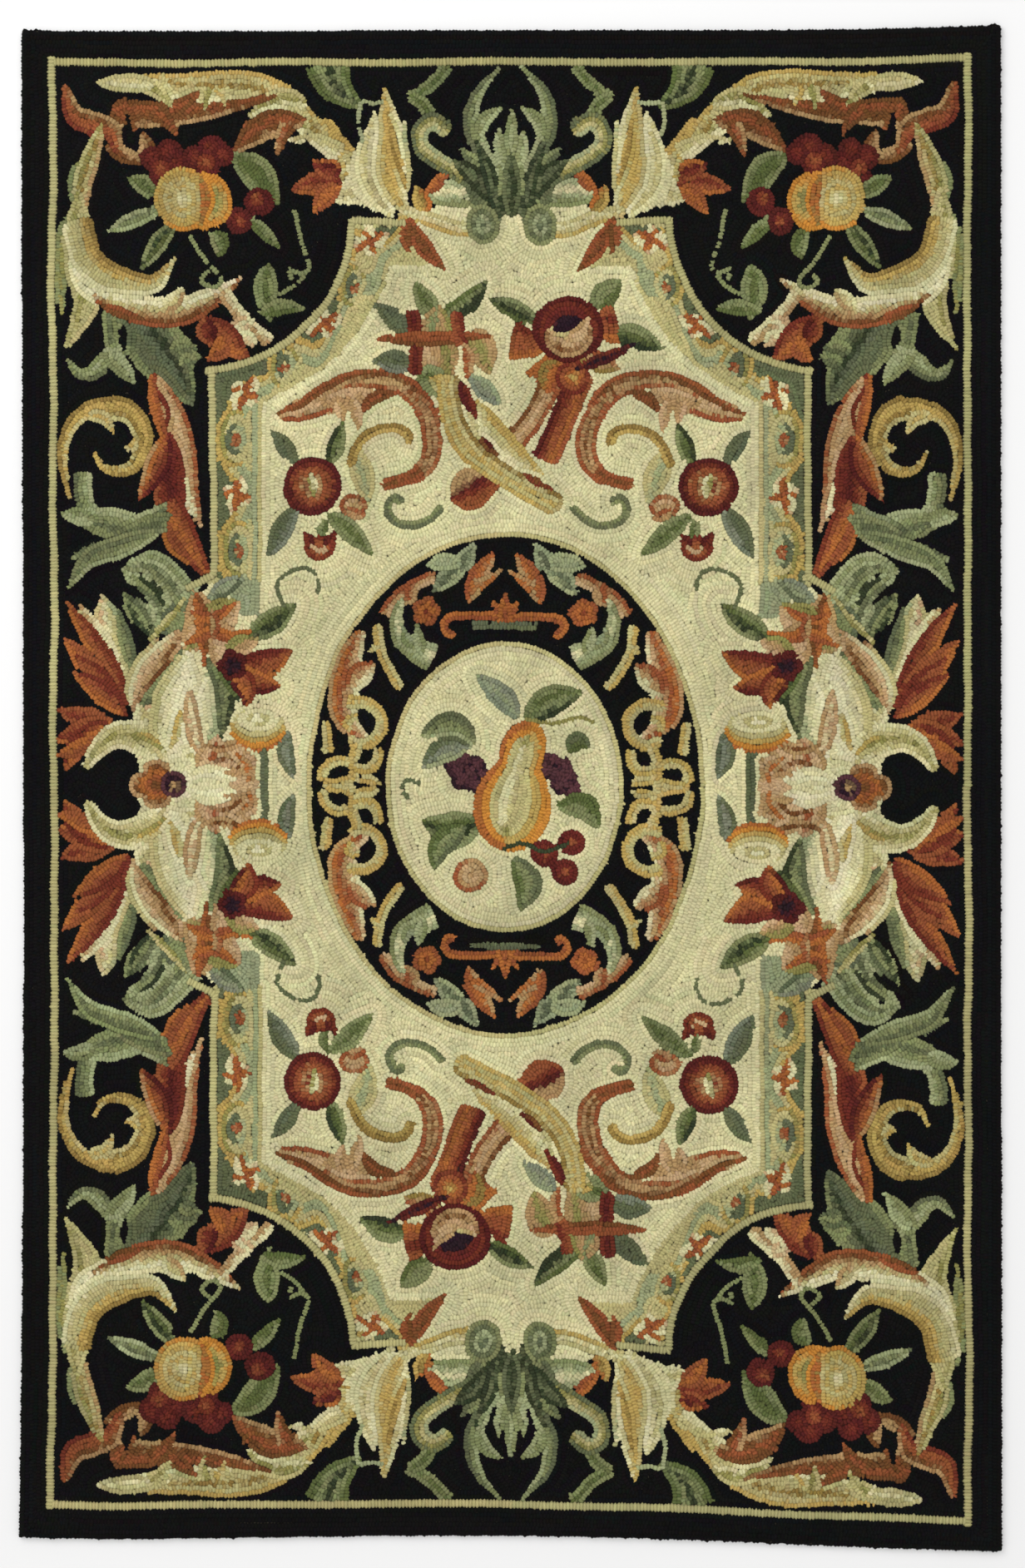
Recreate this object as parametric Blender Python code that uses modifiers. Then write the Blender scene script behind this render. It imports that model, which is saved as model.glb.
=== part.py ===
"""A hand-hooked wool rug, lying flat on the floor.

The rug is one piece: wool loops hooked through one cloth, whose turned edge belongs to it, so it
is one solid. The solid has the rug's real outline, which is a little out of square with edges that
bow inwards, its thickness to the tops of the loops, their round shoulder at the rim, and the slow
unevenness of hand-hooked pile. X runs across the rug and Y along it, in metres. The underside lies
on Z = 0 and the origin is under the middle of the rug.
"""

import math

import bmesh
import bpy

# The rug over all: a size of about 3 ft 9 in by 5 ft 9 in.
RUG_WIDTH = 1.140
RUG_LENGTH = 1.770
RUG_THICKNESS = 0.0090

# How far each corner lies inside the corner of the rectangle around the rug.
CORNER_INSETS = {
    # corner: (inset along X, inset along Y)
    "top_left": (0.0030, 0.0060),
    "top_right": (0.0010, 0.0),
    "bottom_left": (0.0, 0.0160),
    "bottom_right": (0.0, 0.0),
}

# How far each edge bows inwards from the straight line between its corners.
EDGE_BOWS = {
    # edge: (bow at a quarter, at the half, at three quarters), from the left or from the top
    "top": (0.0024, 0.0029, 0.0043),
    "bottom": (0.0040, 0.0099, 0.0060),
    "left": (0.0017, 0.0039, 0.0041),
    "right": (0.0004, 0.0004, 0.0002),
}

# The pile stands within this of its mean level, in swells of these lengths across and along.
SWELL_HEIGHT = 0.0005
SWELLS = (
    # (length across, length along, share of the height)
    (0.41, 0.77, 0.5),
    (0.29, 0.36, 0.3),
    (0.97, 0.23, 0.2),
)

CORNER_RADIUS = 0.0020
SHOULDER_RADIUS = 0.0040
ROUNDING_STEPS = 3
CELLS_ACROSS = 16
CELLS_ALONG = 24

# The mean of the rug's yarns: black, cream, gold, rust and green together.
YARN_COLOUR = (0.247, 0.205, 0.101, 1.0)
YARN_ROUGHNESS = 0.95

BEVEL_WEIGHT = "bevel_weight_edge"


def clear_scene():
    for old in list(bpy.data.objects):
        bpy.data.objects.remove(old, do_unlink=True)


def bow(edge, share):
    """An edge's inward bow at a share of its length, on the curve through its three tabled bows."""
    quarter, half, three_quarters = EDGE_BOWS[edge]
    knots = (0.0, 0.25, 0.5, 0.75, 1.0)
    values = (0.0, quarter, half, three_quarters, 0.0)
    total = 0.0
    for knot, value in zip(knots, values):
        term = value
        for other in knots:
            if other != knot:
                term *= (share - other) / (knot - other)
        total += term
    return total


def corner(name):
    """A corner of the outline, from the corner of the rectangle around the rug and its insets."""
    inset_x, inset_y = CORNER_INSETS[name]
    side = -1.0 if name.endswith("left") else 1.0
    end = 1.0 if name.startswith("top") else -1.0
    return side * (RUG_WIDTH / 2 - inset_x), end * (RUG_LENGTH / 2 - inset_y)


def mix(first, last, share):
    return tuple(a + (b - a) * share for a, b in zip(first, last))


def place(across, along):
    """The point of the rug at a share across it from the left and a share along it from the bottom.

    The four bowed edges are blended over the whole rug, so inner lines follow the nearest edge.
    """
    bottom = mix(corner("bottom_left"), corner("bottom_right"), across)
    top = mix(corner("top_left"), corner("top_right"), across)
    x, y = mix(bottom, top, along)
    x += bow("left", 1.0 - along) * (1.0 - across)
    x -= bow("right", 1.0 - along) * across
    y += bow("bottom", across) * (1.0 - along)
    y -= bow("top", across) * along
    return x, y


def swell(x, y):
    """The height of the pile's slow unevenness at a point, never above zero."""
    wave = 0.0
    for length_across, length_along, share in SWELLS:
        wave += share * math.sin(math.tau * x / length_across) * math.cos(math.tau * y / length_along)
    return SWELL_HEIGHT * (wave - 1.0)


def wool():
    material = bpy.data.materials.new("hooked_wool")
    material.use_nodes = True
    shader = material.node_tree.nodes["Principled BSDF"]
    shader.inputs["Base Color"].default_value = YARN_COLOUR
    shader.inputs["Roughness"].default_value = YARN_ROUGHNESS
    shader.inputs["Metallic"].default_value = 0.0
    return material


def slab_mesh():
    """The rug's slab: a grid bent to the outline, raised to the pile's level, with its rim marked."""
    mesh = bpy.data.meshes.new("hooked_rug")
    bm = bmesh.new()
    bmesh.ops.create_grid(bm, x_segments=CELLS_ACROSS, y_segments=CELLS_ALONG, size=0.5)
    for vertex in bm.verts:
        vertex.co.x, vertex.co.y = place(vertex.co.x + 0.5, vertex.co.y + 0.5)

    raised = bmesh.ops.extrude_face_region(bm, geom=bm.faces[:])["geom"]
    top = {item for item in raised if isinstance(item, bmesh.types.BMVert)}
    for vertex in top:
        vertex.co.z = RUG_THICKNESS + swell(vertex.co.x, vertex.co.y)
    bmesh.ops.recalc_face_normals(bm, faces=bm.faces[:])

    weights = bm.edges.layers.float.new(BEVEL_WEIGHT)
    for edge in bm.edges:
        ends_on_top = [vertex in top for vertex in edge.verts]
        leaning = edge.is_manifold and edge.calc_face_angle() > math.radians(60)
        if leaning and all(ends_on_top):
            edge[weights] = 1.0
        elif leaning and any(ends_on_top):
            edge[weights] = CORNER_RADIUS / SHOULDER_RADIUS
    bm.to_mesh(mesh)
    bm.free()
    return mesh


def hooked_rug(collection):
    """The one solid, with its corners and the pile's shoulder rounded."""
    rug = bpy.data.objects.new("hooked_rug", slab_mesh())
    collection.objects.link(rug)
    rug.data.materials.append(wool())
    rounding = rug.modifiers.new("rounded_rim", "BEVEL")
    rounding.limit_method = "WEIGHT"
    rounding.width = SHOULDER_RADIUS
    rounding.segments = ROUNDING_STEPS
    return rug


def main():
    clear_scene()
    collection = bpy.data.collections.new("hooked_rug")
    bpy.context.scene.collection.children.link(collection)
    hooked_rug(collection)


main()
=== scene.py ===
"""A hand-hooked wool rug: its woollen loops, the design they are hooked in, and the cloth under them.

The design is charted on a grid of one-millimetre squares by small functions for leaves, scrolls,
flowers and fruit. Rows of loops are then hooked along the outlines of the charted shapes, and every
loop becomes a small mound of yarn on the rug's solid.

Lengths in the charts are millimetres from the middle of the rug: out towards a side, up towards an end.
"""

import math

import bmesh
import bpy
import numpy as np
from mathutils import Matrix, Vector
from mathutils.bvhtree import BVHTree


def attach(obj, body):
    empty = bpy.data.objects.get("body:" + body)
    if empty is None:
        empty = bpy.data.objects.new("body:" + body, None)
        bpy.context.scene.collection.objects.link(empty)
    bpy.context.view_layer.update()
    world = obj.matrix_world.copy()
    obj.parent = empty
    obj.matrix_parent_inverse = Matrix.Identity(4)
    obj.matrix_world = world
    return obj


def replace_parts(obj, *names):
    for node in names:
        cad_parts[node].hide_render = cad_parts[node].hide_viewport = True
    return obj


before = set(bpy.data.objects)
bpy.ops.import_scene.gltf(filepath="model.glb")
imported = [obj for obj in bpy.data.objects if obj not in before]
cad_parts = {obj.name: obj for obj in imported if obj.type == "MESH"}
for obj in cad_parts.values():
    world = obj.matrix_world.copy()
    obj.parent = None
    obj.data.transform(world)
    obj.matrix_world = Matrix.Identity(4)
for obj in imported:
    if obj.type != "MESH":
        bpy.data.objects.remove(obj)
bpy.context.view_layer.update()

bl_info = {
    "name": "Hooked Rug",
    "version": (1, 0, 0),
    "blender": (4, 5, 0),
    "location": "3D View > Sidebar > Hooked Rug",
    "description": "Hooks a wool rug, loop by loop, over its solid",
    "category": "Add Mesh",
}

RUG_NODE = "hooked_rug"
BODY = "root"

MM = 0.001
HALF_WIDTH = 570
HALF_LENGTH = 885

# The dyed yarns, as sRGB from 0 to 255.
YARNS = {
    # yarn: (red, green, blue)
    "black": (12, 12, 12),
    "cream": (213, 206, 158),
    "ivory": (222, 215, 174),
    "straw": (188, 178, 122),
    "flax": (180, 172, 118),
    "gold": (186, 158, 88),
    "old_gold": (148, 122, 64),
    "olive": (144, 138, 78),
    "orange": (198, 134, 56),
    "amber": (174, 104, 52),
    "rust": (150, 84, 50),
    "brick": (118, 52, 36),
    "wine": (88, 34, 30),
    "cherry": (106, 42, 34),
    "tan": (176, 142, 96),
    "blush": (196, 164, 122),
    "brown": (116, 74, 40),
    "sage": (132, 138, 92),
    "mist": (160, 166, 122),
    "grey_green": (100, 106, 74),
    "moss": (94, 104, 58),
    "forest": (54, 62, 40),
    "teal": (98, 105, 78),
    "pale_teal": (146, 153, 116),
    "slate": (128, 133, 110),
    "plum": (90, 54, 58),
    "night": (44, 26, 34),
}
YARN_NAMES = tuple(YARNS)


def number(yarn):
    return YARN_NAMES.index(yarn)


# The pieces that the loops are grouped in, each hooked by one operator.
ZONES = (
    # zone, what it holds
    ("border", "the plain black edge outside the guard line"),
    ("guard_line", "the straw line that runs round inside the edge"),
    ("ground", "the black ground between the scrolls"),
    ("scrollwork", "the acanthus scrolls and plumes on the black ground"),
    ("sprays", "the corner fruit and the flowers at the sides"),
    ("frame", "the shaped frame round the cream field"),
    ("field", "the plain cream field"),
    ("field_motifs", "the flowers, scrolls and fruit on the cream field"),
    ("ring", "the black oval ring and its ornaments"),
    ("centre", "the cream oval and its fruit"),
)
ZONE_NUMBERS = {name: number for number, (name, _) in enumerate(ZONES)}


# ---------------------------------------------------------------------------------- charting tools

SPLINE_STEPS = 24  # from one given point of a smooth curve to the next
BLADE_STEP = 2.5  # from point to point along a blade's middle, in millimetres
LINE_STEP = 1.0  # and along a line
THINNEST = 0.05  # half the width of a blade where it runs out
PETAL_BLUNTNESS = 0.6


def smooth_line(points, step):
    """Evenly spaced points on a smooth curve through the given ones, its directions and its length."""
    knots = np.asarray(points, float)
    knots = np.vstack((2 * knots[0] - knots[1], knots, 2 * knots[-1] - knots[-2]))
    pieces = []
    share = np.linspace(0.0, 1.0, SPLINE_STEPS, endpoint=False)[:, None]
    for a, b, c, d in zip(knots, knots[1:], knots[2:], knots[3:]):
        pieces.append(
            0.5 * (2 * b + (c - a) * share + (2 * a - 5 * b + 4 * c - d) * share**2
                   + (3 * b - a - 3 * c + d) * share**3)
        )
    curve = np.vstack(pieces + [knots[-2][None]])
    return even_line(curve, step)


def even_line(curve, step):
    """The same for a finely drawn curve or a run of straight lines."""
    curve = np.asarray(curve, float)
    lengths = np.concatenate(([0.0], np.cumsum(np.hypot(*np.diff(curve, axis=0).T))))
    count = max(3, int(round(lengths[-1] / step)) + 1)
    stations = np.linspace(0.0, lengths[-1], count)
    line = np.column_stack([np.interp(stations, lengths, curve[:, k]) for k in (0, 1)])
    direction = np.gradient(line, axis=0)
    direction /= np.maximum(np.hypot(*direction.T), 1e-9)[:, None]
    return line, direction, lengths[-1]


def rounded(share, end):
    """One along a blade, falling to nought in a quarter circle at each end."""
    near = np.clip(np.minimum(share, 1.0 - share) / end, 0, 1)
    return np.sqrt(1.0 - (1.0 - near) ** 2)


def pear_width(share):
    """The outline of a pear from its stalk end to its round one: a small oval run into a large one."""
    neck, body = (share - 0.26) / 0.26, (share - 0.66) / 0.34
    ovals = 0.56 * np.sqrt(np.clip(1 - neck**2, 0, 1)), np.sqrt(np.clip(1 - body**2, 0, 1))
    return (ovals[0] ** 4 + ovals[1] ** 4) ** 0.25


# How wide a blade is along its length, as a share of its full width. Its length runs from 0 to 1.
FORMS = {
    "leaf": lambda s: np.sin(np.pi * s**0.85) ** 0.8,
    "horn": lambda s: np.minimum(1.0, s / 0.05 + 0.3) * np.clip(1.0 - s, 0, 1) ** 0.65,
    "drop": lambda s: np.sin(np.pi * s**1.7) ** 0.75,
    "scroll": lambda s: np.clip(0.30 + 0.75 * np.sin(np.pi * s) ** 1.2, 0, 1) * rounded(s, 0.03),
    "petal": lambda s: np.sin(np.pi * s**0.7) ** 0.7,
    "fan": lambda s: (0.25 + 0.75 * s) * rounded(s, 0.08),
    "band": lambda s: rounded(s, 0.04),
    "tail": lambda s: (0.18 + 0.82 * np.clip(s, 0, 1) ** 0.8) * rounded(s, 0.02),
    "claw": lambda s: np.clip((1 - s) / 0.5, 0, 1) ** 0.7 * rounded(s / 2 + 0.001, 0.02),
    "pear": pear_width,
}


class Chart:
    """A chart of the design: which shape, which yarn and which zone each square millimetre has."""

    def __init__(self, left, right, low, high):
        self.left, self.low = left, low
        shape = (high - low, right - left)
        self.shapes = np.zeros(shape, np.int32)
        self.yarns = np.zeros(shape, np.uint8)
        self.zones = np.zeros(shape, np.uint8)
        self.lines = []
        self.made = 0
        self.zone = "ground"

    def window(self, lowest, highest):
        """The part of the chart between two corners, and the middles of its squares."""
        rows, columns = self.shapes.shape
        c0 = int(np.clip(lowest[0] - self.left - 2, 0, columns))
        c1 = int(np.clip(highest[0] - self.left + 3, 0, columns))
        r0 = int(np.clip(lowest[1] - self.low - 2, 0, rows))
        r1 = int(np.clip(highest[1] - self.low + 3, 0, rows))
        out = np.arange(c0, c1) + self.left + 0.5
        up = np.arange(r0, r1) + self.low + 0.5
        return (slice(r0, r1), slice(c0, c1)), *np.meshgrid(out, up)

    def whole(self):
        return self.window((-9999, -9999), (9999, 9999))

    def fill(self, part, mask, yarns):
        """Gives the masked squares a new shape, with a yarn number or one for each square."""
        if not mask.any():
            return
        self.made += 1
        self.shapes[part][mask] = self.made
        self.yarns[part][mask] = yarns[mask] if isinstance(yarns, np.ndarray) else yarns
        self.zones[part][mask] = ZONE_NUMBERS[self.zone]

    def bands(self, share, names):
        """Yarn numbers for shares from 0 to 1 that run through the named yarns."""
        numbers = np.array([number(name) for name in names.split()], np.uint8)
        return numbers[np.clip((share * len(numbers)).astype(int), 0, len(numbers) - 1)]

    def blade(self, form, width, yarns, points):
        """A leaf, petal or scroll along a smooth line, its yarns from its right edge to its left."""
        line, direction, length = smooth_line(points, BLADE_STEP)
        margin = width / 2 + 1
        part, out, up = self.window(line.min(0) - margin, line.max(0) + margin)
        if not out.size:
            return
        here = np.column_stack((out.ravel(), up.ravel()))
        apart = here[:, None, :].astype(np.float32) - line[None].astype(np.float32)
        nearest = np.argmin((apart**2).sum(2), axis=1)
        offset, heading = here - line[nearest], direction[nearest]
        along = (offset * heading).sum(1)
        across = heading[:, 0] * offset[:, 1] - heading[:, 1] * offset[:, 0]
        share = (nearest * length / (len(line) - 1) + along) / length
        inside = (share > 0) & (share < 1)
        half = np.maximum(width / 2 * FORMS[form](np.clip(share, 1e-4, 1 - 1e-4)), THINNEST)
        reached = across / half
        mask = inside & (np.abs(reached) <= 1)
        self.fill(part, mask.reshape(out.shape), self.bands((reached + 1) / 2, yarns).reshape(out.shape))

    def oval(self, centre, radii, yarns, light=(0.0, 0.0), turn=0.0):
        """An oval in rings of yarn from its rim inwards, round a light spot off its middle."""
        part, out, up = self.window(np.subtract(centre, max(radii)), np.add(centre, max(radii)))
        cosine, sine = math.cos(turn), math.sin(turn)
        x, y = out - centre[0], up - centre[1]
        across, along = (x * cosine + y * sine) / radii[0], (y * cosine - x * sine) / radii[1]
        rim = np.hypot(across, along)
        spot = np.hypot(across - light[0], along - light[1]) / (1 + math.hypot(*light))
        self.fill(part, rim < 1, self.bands(1 - np.clip(0.5 * rim + 0.5 * spot, 0, 0.999), yarns))

    def bloom(self, centre, radius, yarns, petals, notch, turn=0.0, squash=1.0):
        """A flower seen from the front, in rings of yarn from its petals' rim to its eye."""
        part, out, up = self.window(np.subtract(centre, radius), np.add(centre, radius))
        x, y = out - centre[0], (up - centre[1]) / squash
        swell = np.abs(np.cos(petals * (np.arctan2(y, x) - turn) / 2)) ** PETAL_BLUNTNESS
        rim = np.hypot(x, y) / (radius * (1 - notch + notch * swell))
        self.fill(part, rim < 1, self.bands(1 - np.clip(rim, 0, 0.999), yarns))

    def line(self, yarn, points, smooth=True, breadth=1.0, sunk=0.0):
        """A line of one row of loops, each so many times as broad as the others and so much lower."""
        track = (smooth_line if smooth else even_line)(points, LINE_STEP)
        self.lines.append((track[0], yarn, self.zone, breadth, sunk))

    def draw(self, zone, *tables):
        """Draws the rows of tables one over the other, all in one zone."""
        self.zone = zone
        for form, size, yarns, points, *more in (row for table in tables for row in table):
            if form == "oval":
                self.oval(points, size, yarns, *more)
            elif form == "berries":
                for out, up, radius in points:
                    self.oval((out, up), (radius, radius), yarns, (size, size))
            elif form == "bloom":
                self.bloom(points, size, yarns, *more)
            elif form == "tendril":
                self.line(yarns, points, sunk=size)
            else:
                self.blade(form, size, yarns, points)


def ellipse(out, up, centre, radii):
    """How far out a point lies, as a share of the way from an oval's centre to its rim."""
    return np.hypot((out - centre[0]) / radii[0], (up - centre[1]) / radii[1])


def arc(centre, radii, first, last, steps=40):
    """Points on an arc, from one angle in degrees to another."""
    angles = np.radians(np.linspace(first, last, steps))
    return [(centre[0] + radii[0] * math.cos(a), centre[1] + radii[1] * math.sin(a)) for a in angles]


# --------------------------------------------------------------------------- the design: one quarter
# A row of a table is one of these, each point being (out, up):
#   a blade: its form, its full width, its yarns from its right edge to its left, its points
#   an oval: "oval", its half width and half height, its yarns from the rim inwards, its middle and
#     where its light spot lies
#   a bloom: "bloom", its radius, its yarns, its middle, its petals, how deep they part, its turn and
#     how much it is squashed
#   berries: "berries", how far their light spot lies off the middle, their yarns, each (out, up, radius)
#   a tendril: "tendril", how much lower it is hooked, its yarn, its points

GUARD_LINE = (531.5, 848)  # (out, up) of its sides and its ends
LINE_WIDTH = 10.0
LINE_BREADTH = 1.42  # its loops are this much broader than the others
CHART_SPARE = 30  # how far the charts go on beyond the rug

# The cream field: straight at its sides and ends, with a round bite out of each corner.
FIELD_SIDE = 350
FIELD_END = 663
FIELD_BITE = ((365, 668), 177)  # its middle and its radius
SHOULDER = 489  # where the side meets the bite
SIDE_FOOT = 248  # where the side ends, beside the waist
WAIST = ((300, 0), (132, 250))  # the ovals of plain cream past the frame: their middles and radii
HEAD = ((0, 650), (112, 46))
FIELD_MIDDLE = (300, 240)

# The frame along the cream field's edge, its yarns parted by a slow wave.
FRAME_WIDTH = 58
SIDE_FRAME_SHARE = 0.86  # the frame is broader along its sides, by one over this
FRAME_FOOT = 236
FRAME_HEAD = (116, 0.4)  # how far out it begins at the end, and how it leans
WAVE_DEPTH, WAVE_HEIGHT, WAVE_LENGTH, WAVE_CREST = 17, 11, 129, 339
WAVE_SIDE = 300  # it is measured upwards beyond this, and outwards within it
WAVE_ROUND_BITE = 1.9  # and it runs this much faster there
FRAME_BANDS = (
    # how deep inside the edge the band ends, whether the wave is added, its yarn
    (LINE_WIDTH, 0, "flax"), (-1, 1, "grey_green"), (6, 1, "gold"), (13, 1, "straw"), (23, 1, "mist"),
    (FRAME_WIDTH - 3, 0, "straw"), (FRAME_WIDTH, 0, "cream"),
)
FOOT_BAND = ((198, 240), (22, 52))  # the pale end of the frame: from and to, up and inside the edge

# The oval ring: its middle and its radii outside and inside, with a straw line along each.
RING_OUTER = ((0, 3), (225, 288))
RING_INNER = ((0, 0), (138.5, 171))
RING_LINE = 6
RING_SLIPS = (
    # how far the ring lies to the left and down, whole up to one share of its reach and gone at another
    (6.8, 2.0, 1.05, 1.6),
    (1.9, 2.8, 0.6, 1.0),
)

FRAME_CURLS = (
    # middle (out, up), which way it faces, size
    ((318, 407), 0.0, 1.0), ((316, 276), 0.0, 1.0), ((262, 490), 0.9, 0.85), ((182, 584), 0.5, 0.75),
)
FRAME_BLOSSOMS = (
    # middle (out, up), which way it faces
    ((308, 459), 0.3), ((318, 340), 0.1), ((216, 540), 0.8), ((163, 638), 1.0),
)

CORNER_SCROLLS = (
    ("leaf", 17, "sage olive sage", ((514, 672), (520, 632), (521, 592), (518, 548))),
    ("leaf", 13, "olive sage", ((503, 730), (509, 704), (507, 680))),
    # the long scroll under the top line, the brown leaf that it holds and the pale lobe under its bend
    ("band", 32, "gold straw cream straw", ((223, 775), (195, 738), (167, 697))),
    ("scroll", 40, "gold straw old_gold straw flax cream",
     ((472, 824), (430, 823), (395, 821), (360, 819), (325, 820), (290, 815), (262, 801), (238, 780),
      (217, 756), (201, 728), (190, 690))),
    ("leaf", 22, "flax straw cream flax", ((479, 825), (440, 824), (392, 821))),
    ("leaf", 26, "straw olive straw cream", ((300, 808), (262, 796), (226, 760))),
    ("horn", 30, "cream straw", ((196, 738), (226, 756), (258, 757))),
    ("leaf", 32, "straw cream olive straw", ((232, 800), (268, 803), (304, 784))),
    ("horn", 37, "brown rust brown brown tan",
     ((463, 788), (420, 788), (372, 788), (324, 796), (270, 811))),
    ("horn", 24, "brown rust brown", ((396, 788), (378, 800), (356, 816))),
    ("horn", 22, "straw olive straw", ((416, 820), (404, 810), (391, 795))),
    ("horn", 17, "olive straw", ((352, 820), (354, 806), (353, 790))),
    ("horn", 14, "straw gold", ((336, 818), (333, 806), (328, 795))),
    ("horn", 24, "brown rust brown", ((410, 790), (396, 778), (385, 762))),
    ("horn", 20, "brown rust brown", ((455, 790), (443, 778), (433, 766))),
    ("leaf", 9, "black", ((444, 786), (443, 770), (438, 754))),
    ("leaf", 34, "tan brown rust brown", ((236, 781), (276, 776), (302, 760), (322, 741))),
    ("horn", 22, "brown rust tan", ((258, 776), (266, 758), (271, 736))),
    ("horn", 14, "rust brown", ((284, 776), (296, 772), (310, 776))),
    ("band", 7, "black", ((240, 756), (224, 742), (214, 732))),
    # the tulip, the brown fork under it and the long arm down the side
    ("leaf", 20, "tan brown", ((470, 752), (444, 738), (414, 730))),
    ("petal", 20, "tan brown", ((424, 728), (420, 746), (428, 768))),
    ("scroll", 29, "brick rust rust brown tan",
     ((452, 740), (462, 768), (486, 778), (506, 788), (515, 822))),
    ("leaf", 25, "tan straw old_gold olive flax",
     ((471, 776), (483, 744), (495, 710), (501, 674), (501, 636))),
    ("leaf", 38, "straw flax straw olive flax",
     ((502, 700), (502, 652), (497, 606), (491, 568), (503, 536), (519, 510))),
    ("leaf", 36, "cream straw cream ivory cream", ((508, 636), (494, 597), (466, 576), (412, 568))),
    ("claw", 37, "old_gold gold flax straw cream",
     ((505, 664), (492, 620), (467, 598), (438, 589), (411, 591), (387, 620))),
    ("leaf", 38, "cream ivory straw tan brown rust",
     ((486, 576), (450, 563), (416, 556), (382, 556), (348, 571), (311, 596))),
    ("petal", 20, "cream straw tan", ((402, 560), (390, 570), (377, 584))),
    ("leaf", 14, "rust brown", ((474, 564), (452, 554), (424, 546))),
    ("band", 15, "cream tan", ((334, 580), (318, 557), (300, 538), (278, 520))),
    # the rust leaf of three lobes beside the plume, and the scroll's foot
    ("leaf", 40, "cream straw cream", ((204, 688), (172, 694), (128, 672))),
    ("leaf", 7, "black", ((200, 670), (180, 677), (156, 670))),
    ("petal", 28, "amber rust brick rust", ((194, 704), (224, 705), (256, 698))),
    ("petal", 26, "rust brick wine amber", ((196, 716), (212, 722), (230, 728))),
    ("petal", 24, "rust amber rust", ((198, 702), (214, 690), (230, 670))),
)

SIDE_SCROLLS = (
    # the grey-green acanthus over the gold spiral
    ("band", 17, "sage grey_green sage", ((466, 556), (463, 530), (460, 500))),
    ("claw", 22, "grey_green sage mist sage",
     ((440, 520), (468, 500), (484, 484), (500, 482), (516, 500))),
    ("leaf", 24, "mist sage", ((472, 512), (452, 494), (434, 470))),
    ("leaf", 30, "sage grey_green mist", ((424, 546), (394, 524), (358, 500))),
    ("leaf", 64, "sage grey_green forest teal grey_green grey_green sage",
     ((454, 566), (424, 530), (396, 494), (368, 446))),
    ("petal", 20, "sage grey_green", ((396, 510), (380, 514), (363, 514))),
    ("petal", 18, "sage grey_green", ((384, 494), (374, 499), (361, 500))),
    ("leaf", 10, "black", ((450, 540), (449, 526), (447, 510))),
    # the gold spiral: its long arm, its body with the tip, and its inner tooth
    ("tail", 24, "old_gold gold gold straw",
     ((511, 334), (519, 372), (518, 404), (507, 427), (487, 441), (462, 444), (440, 432))),
    ("horn", 31, "old_gold gold gold old_gold straw",
     ((466, 444), (440, 436), (426, 411), (428, 388), (441, 373), (458, 369), (474, 374), (486, 394))),
    ("petal", 17, "straw gold straw", ((492, 434), (472, 430), (460, 412))),
    ("petal", 12, "straw gold", ((432, 404), (440, 396), (448, 398))),
    # the long rust leaf with its tan half and its pale teeth
    ("leaf", 24, "brick rust amber", ((415, 484), (406, 444), (401, 398))),
    ("leaf", 29, "rust tan blush tan tan",
     ((409, 482), (391, 440), (381, 400), (374, 350), (358, 296))),
    ("leaf", 6, "brick", ((410, 468), (398, 441), (399, 414))),
    ("leaf", 17, "cream ivory blush", ((388, 376), (380, 342), (366, 314))),
    ("petal", 12, "cream ivory", ((384, 350), (388, 341), (390, 332))),
    ("leaf", 38, "brick cherry wine brick rust", ((396, 412), (396, 352), (392, 300), (384, 268))),
    ("leaf", 29, "wine brick rust amber tan", ((399, 412), (411, 372), (433, 333))),
    ("horn", 45, "brick rust amber rust brick", ((404, 330), (382, 296), (348, 238))),
    ("leaf", 12, "rust amber", ((404, 304), (392, 280), (370, 258))),
    # the green acanthus under the spiral
    ("band", 22, "mist sage grey_green", ((496, 368), (496, 344), (488, 320), (466, 304))),
    ("leaf", 40, "mist sage grey_green sage", ((508, 318), (470, 308), (430, 302), (398, 332))),
    ("petal", 22, "mist sage", ((484, 308), (502, 316), (522, 317))),
    ("leaf", 26, "sage grey_green sage", ((392, 318), (424, 302), (458, 296))),
    ("leaf", 26, "mist sage grey_green", ((400, 302), (450, 282), (512, 266))),
    ("leaf", 26, "mist sage grey_green sage", ((400, 300), (446, 282), (490, 264), (517, 228))),
    # the ribbed leaves by the side spray
    ("leaf", 44, "sage olive sage", ((362, 216), (384, 224), (408, 236))),
    ("claw", 39, "mist sage grey_green mist sage mist",
     ((374, 214), (398, 244), (422, 262), (452, 252))),
    ("leaf", 26, "mist sage mist", ((400, 204), (418, 226), (450, 252))),
    ("leaf", 40, "sage forest grey_green mist grey_green", ((412, 178), (424, 204), (450, 236))),
    ("leaf", 14, "forest sage", ((418, 174), (432, 196), (447, 220))),
    ("leaf", 40, "grey_green sage teal", ((374, 204), (386, 194), (396, 168))),
    ("leaf", 9, "straw olive", ((424, 168), (400, 192), (374, 224))),
    ("leaf", 11, "black", ((462, 238), (440, 229), (420, 213))),
    ("leaf", 8, "forest", ((402, 212), (416, 234), (436, 247))),
)

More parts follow.
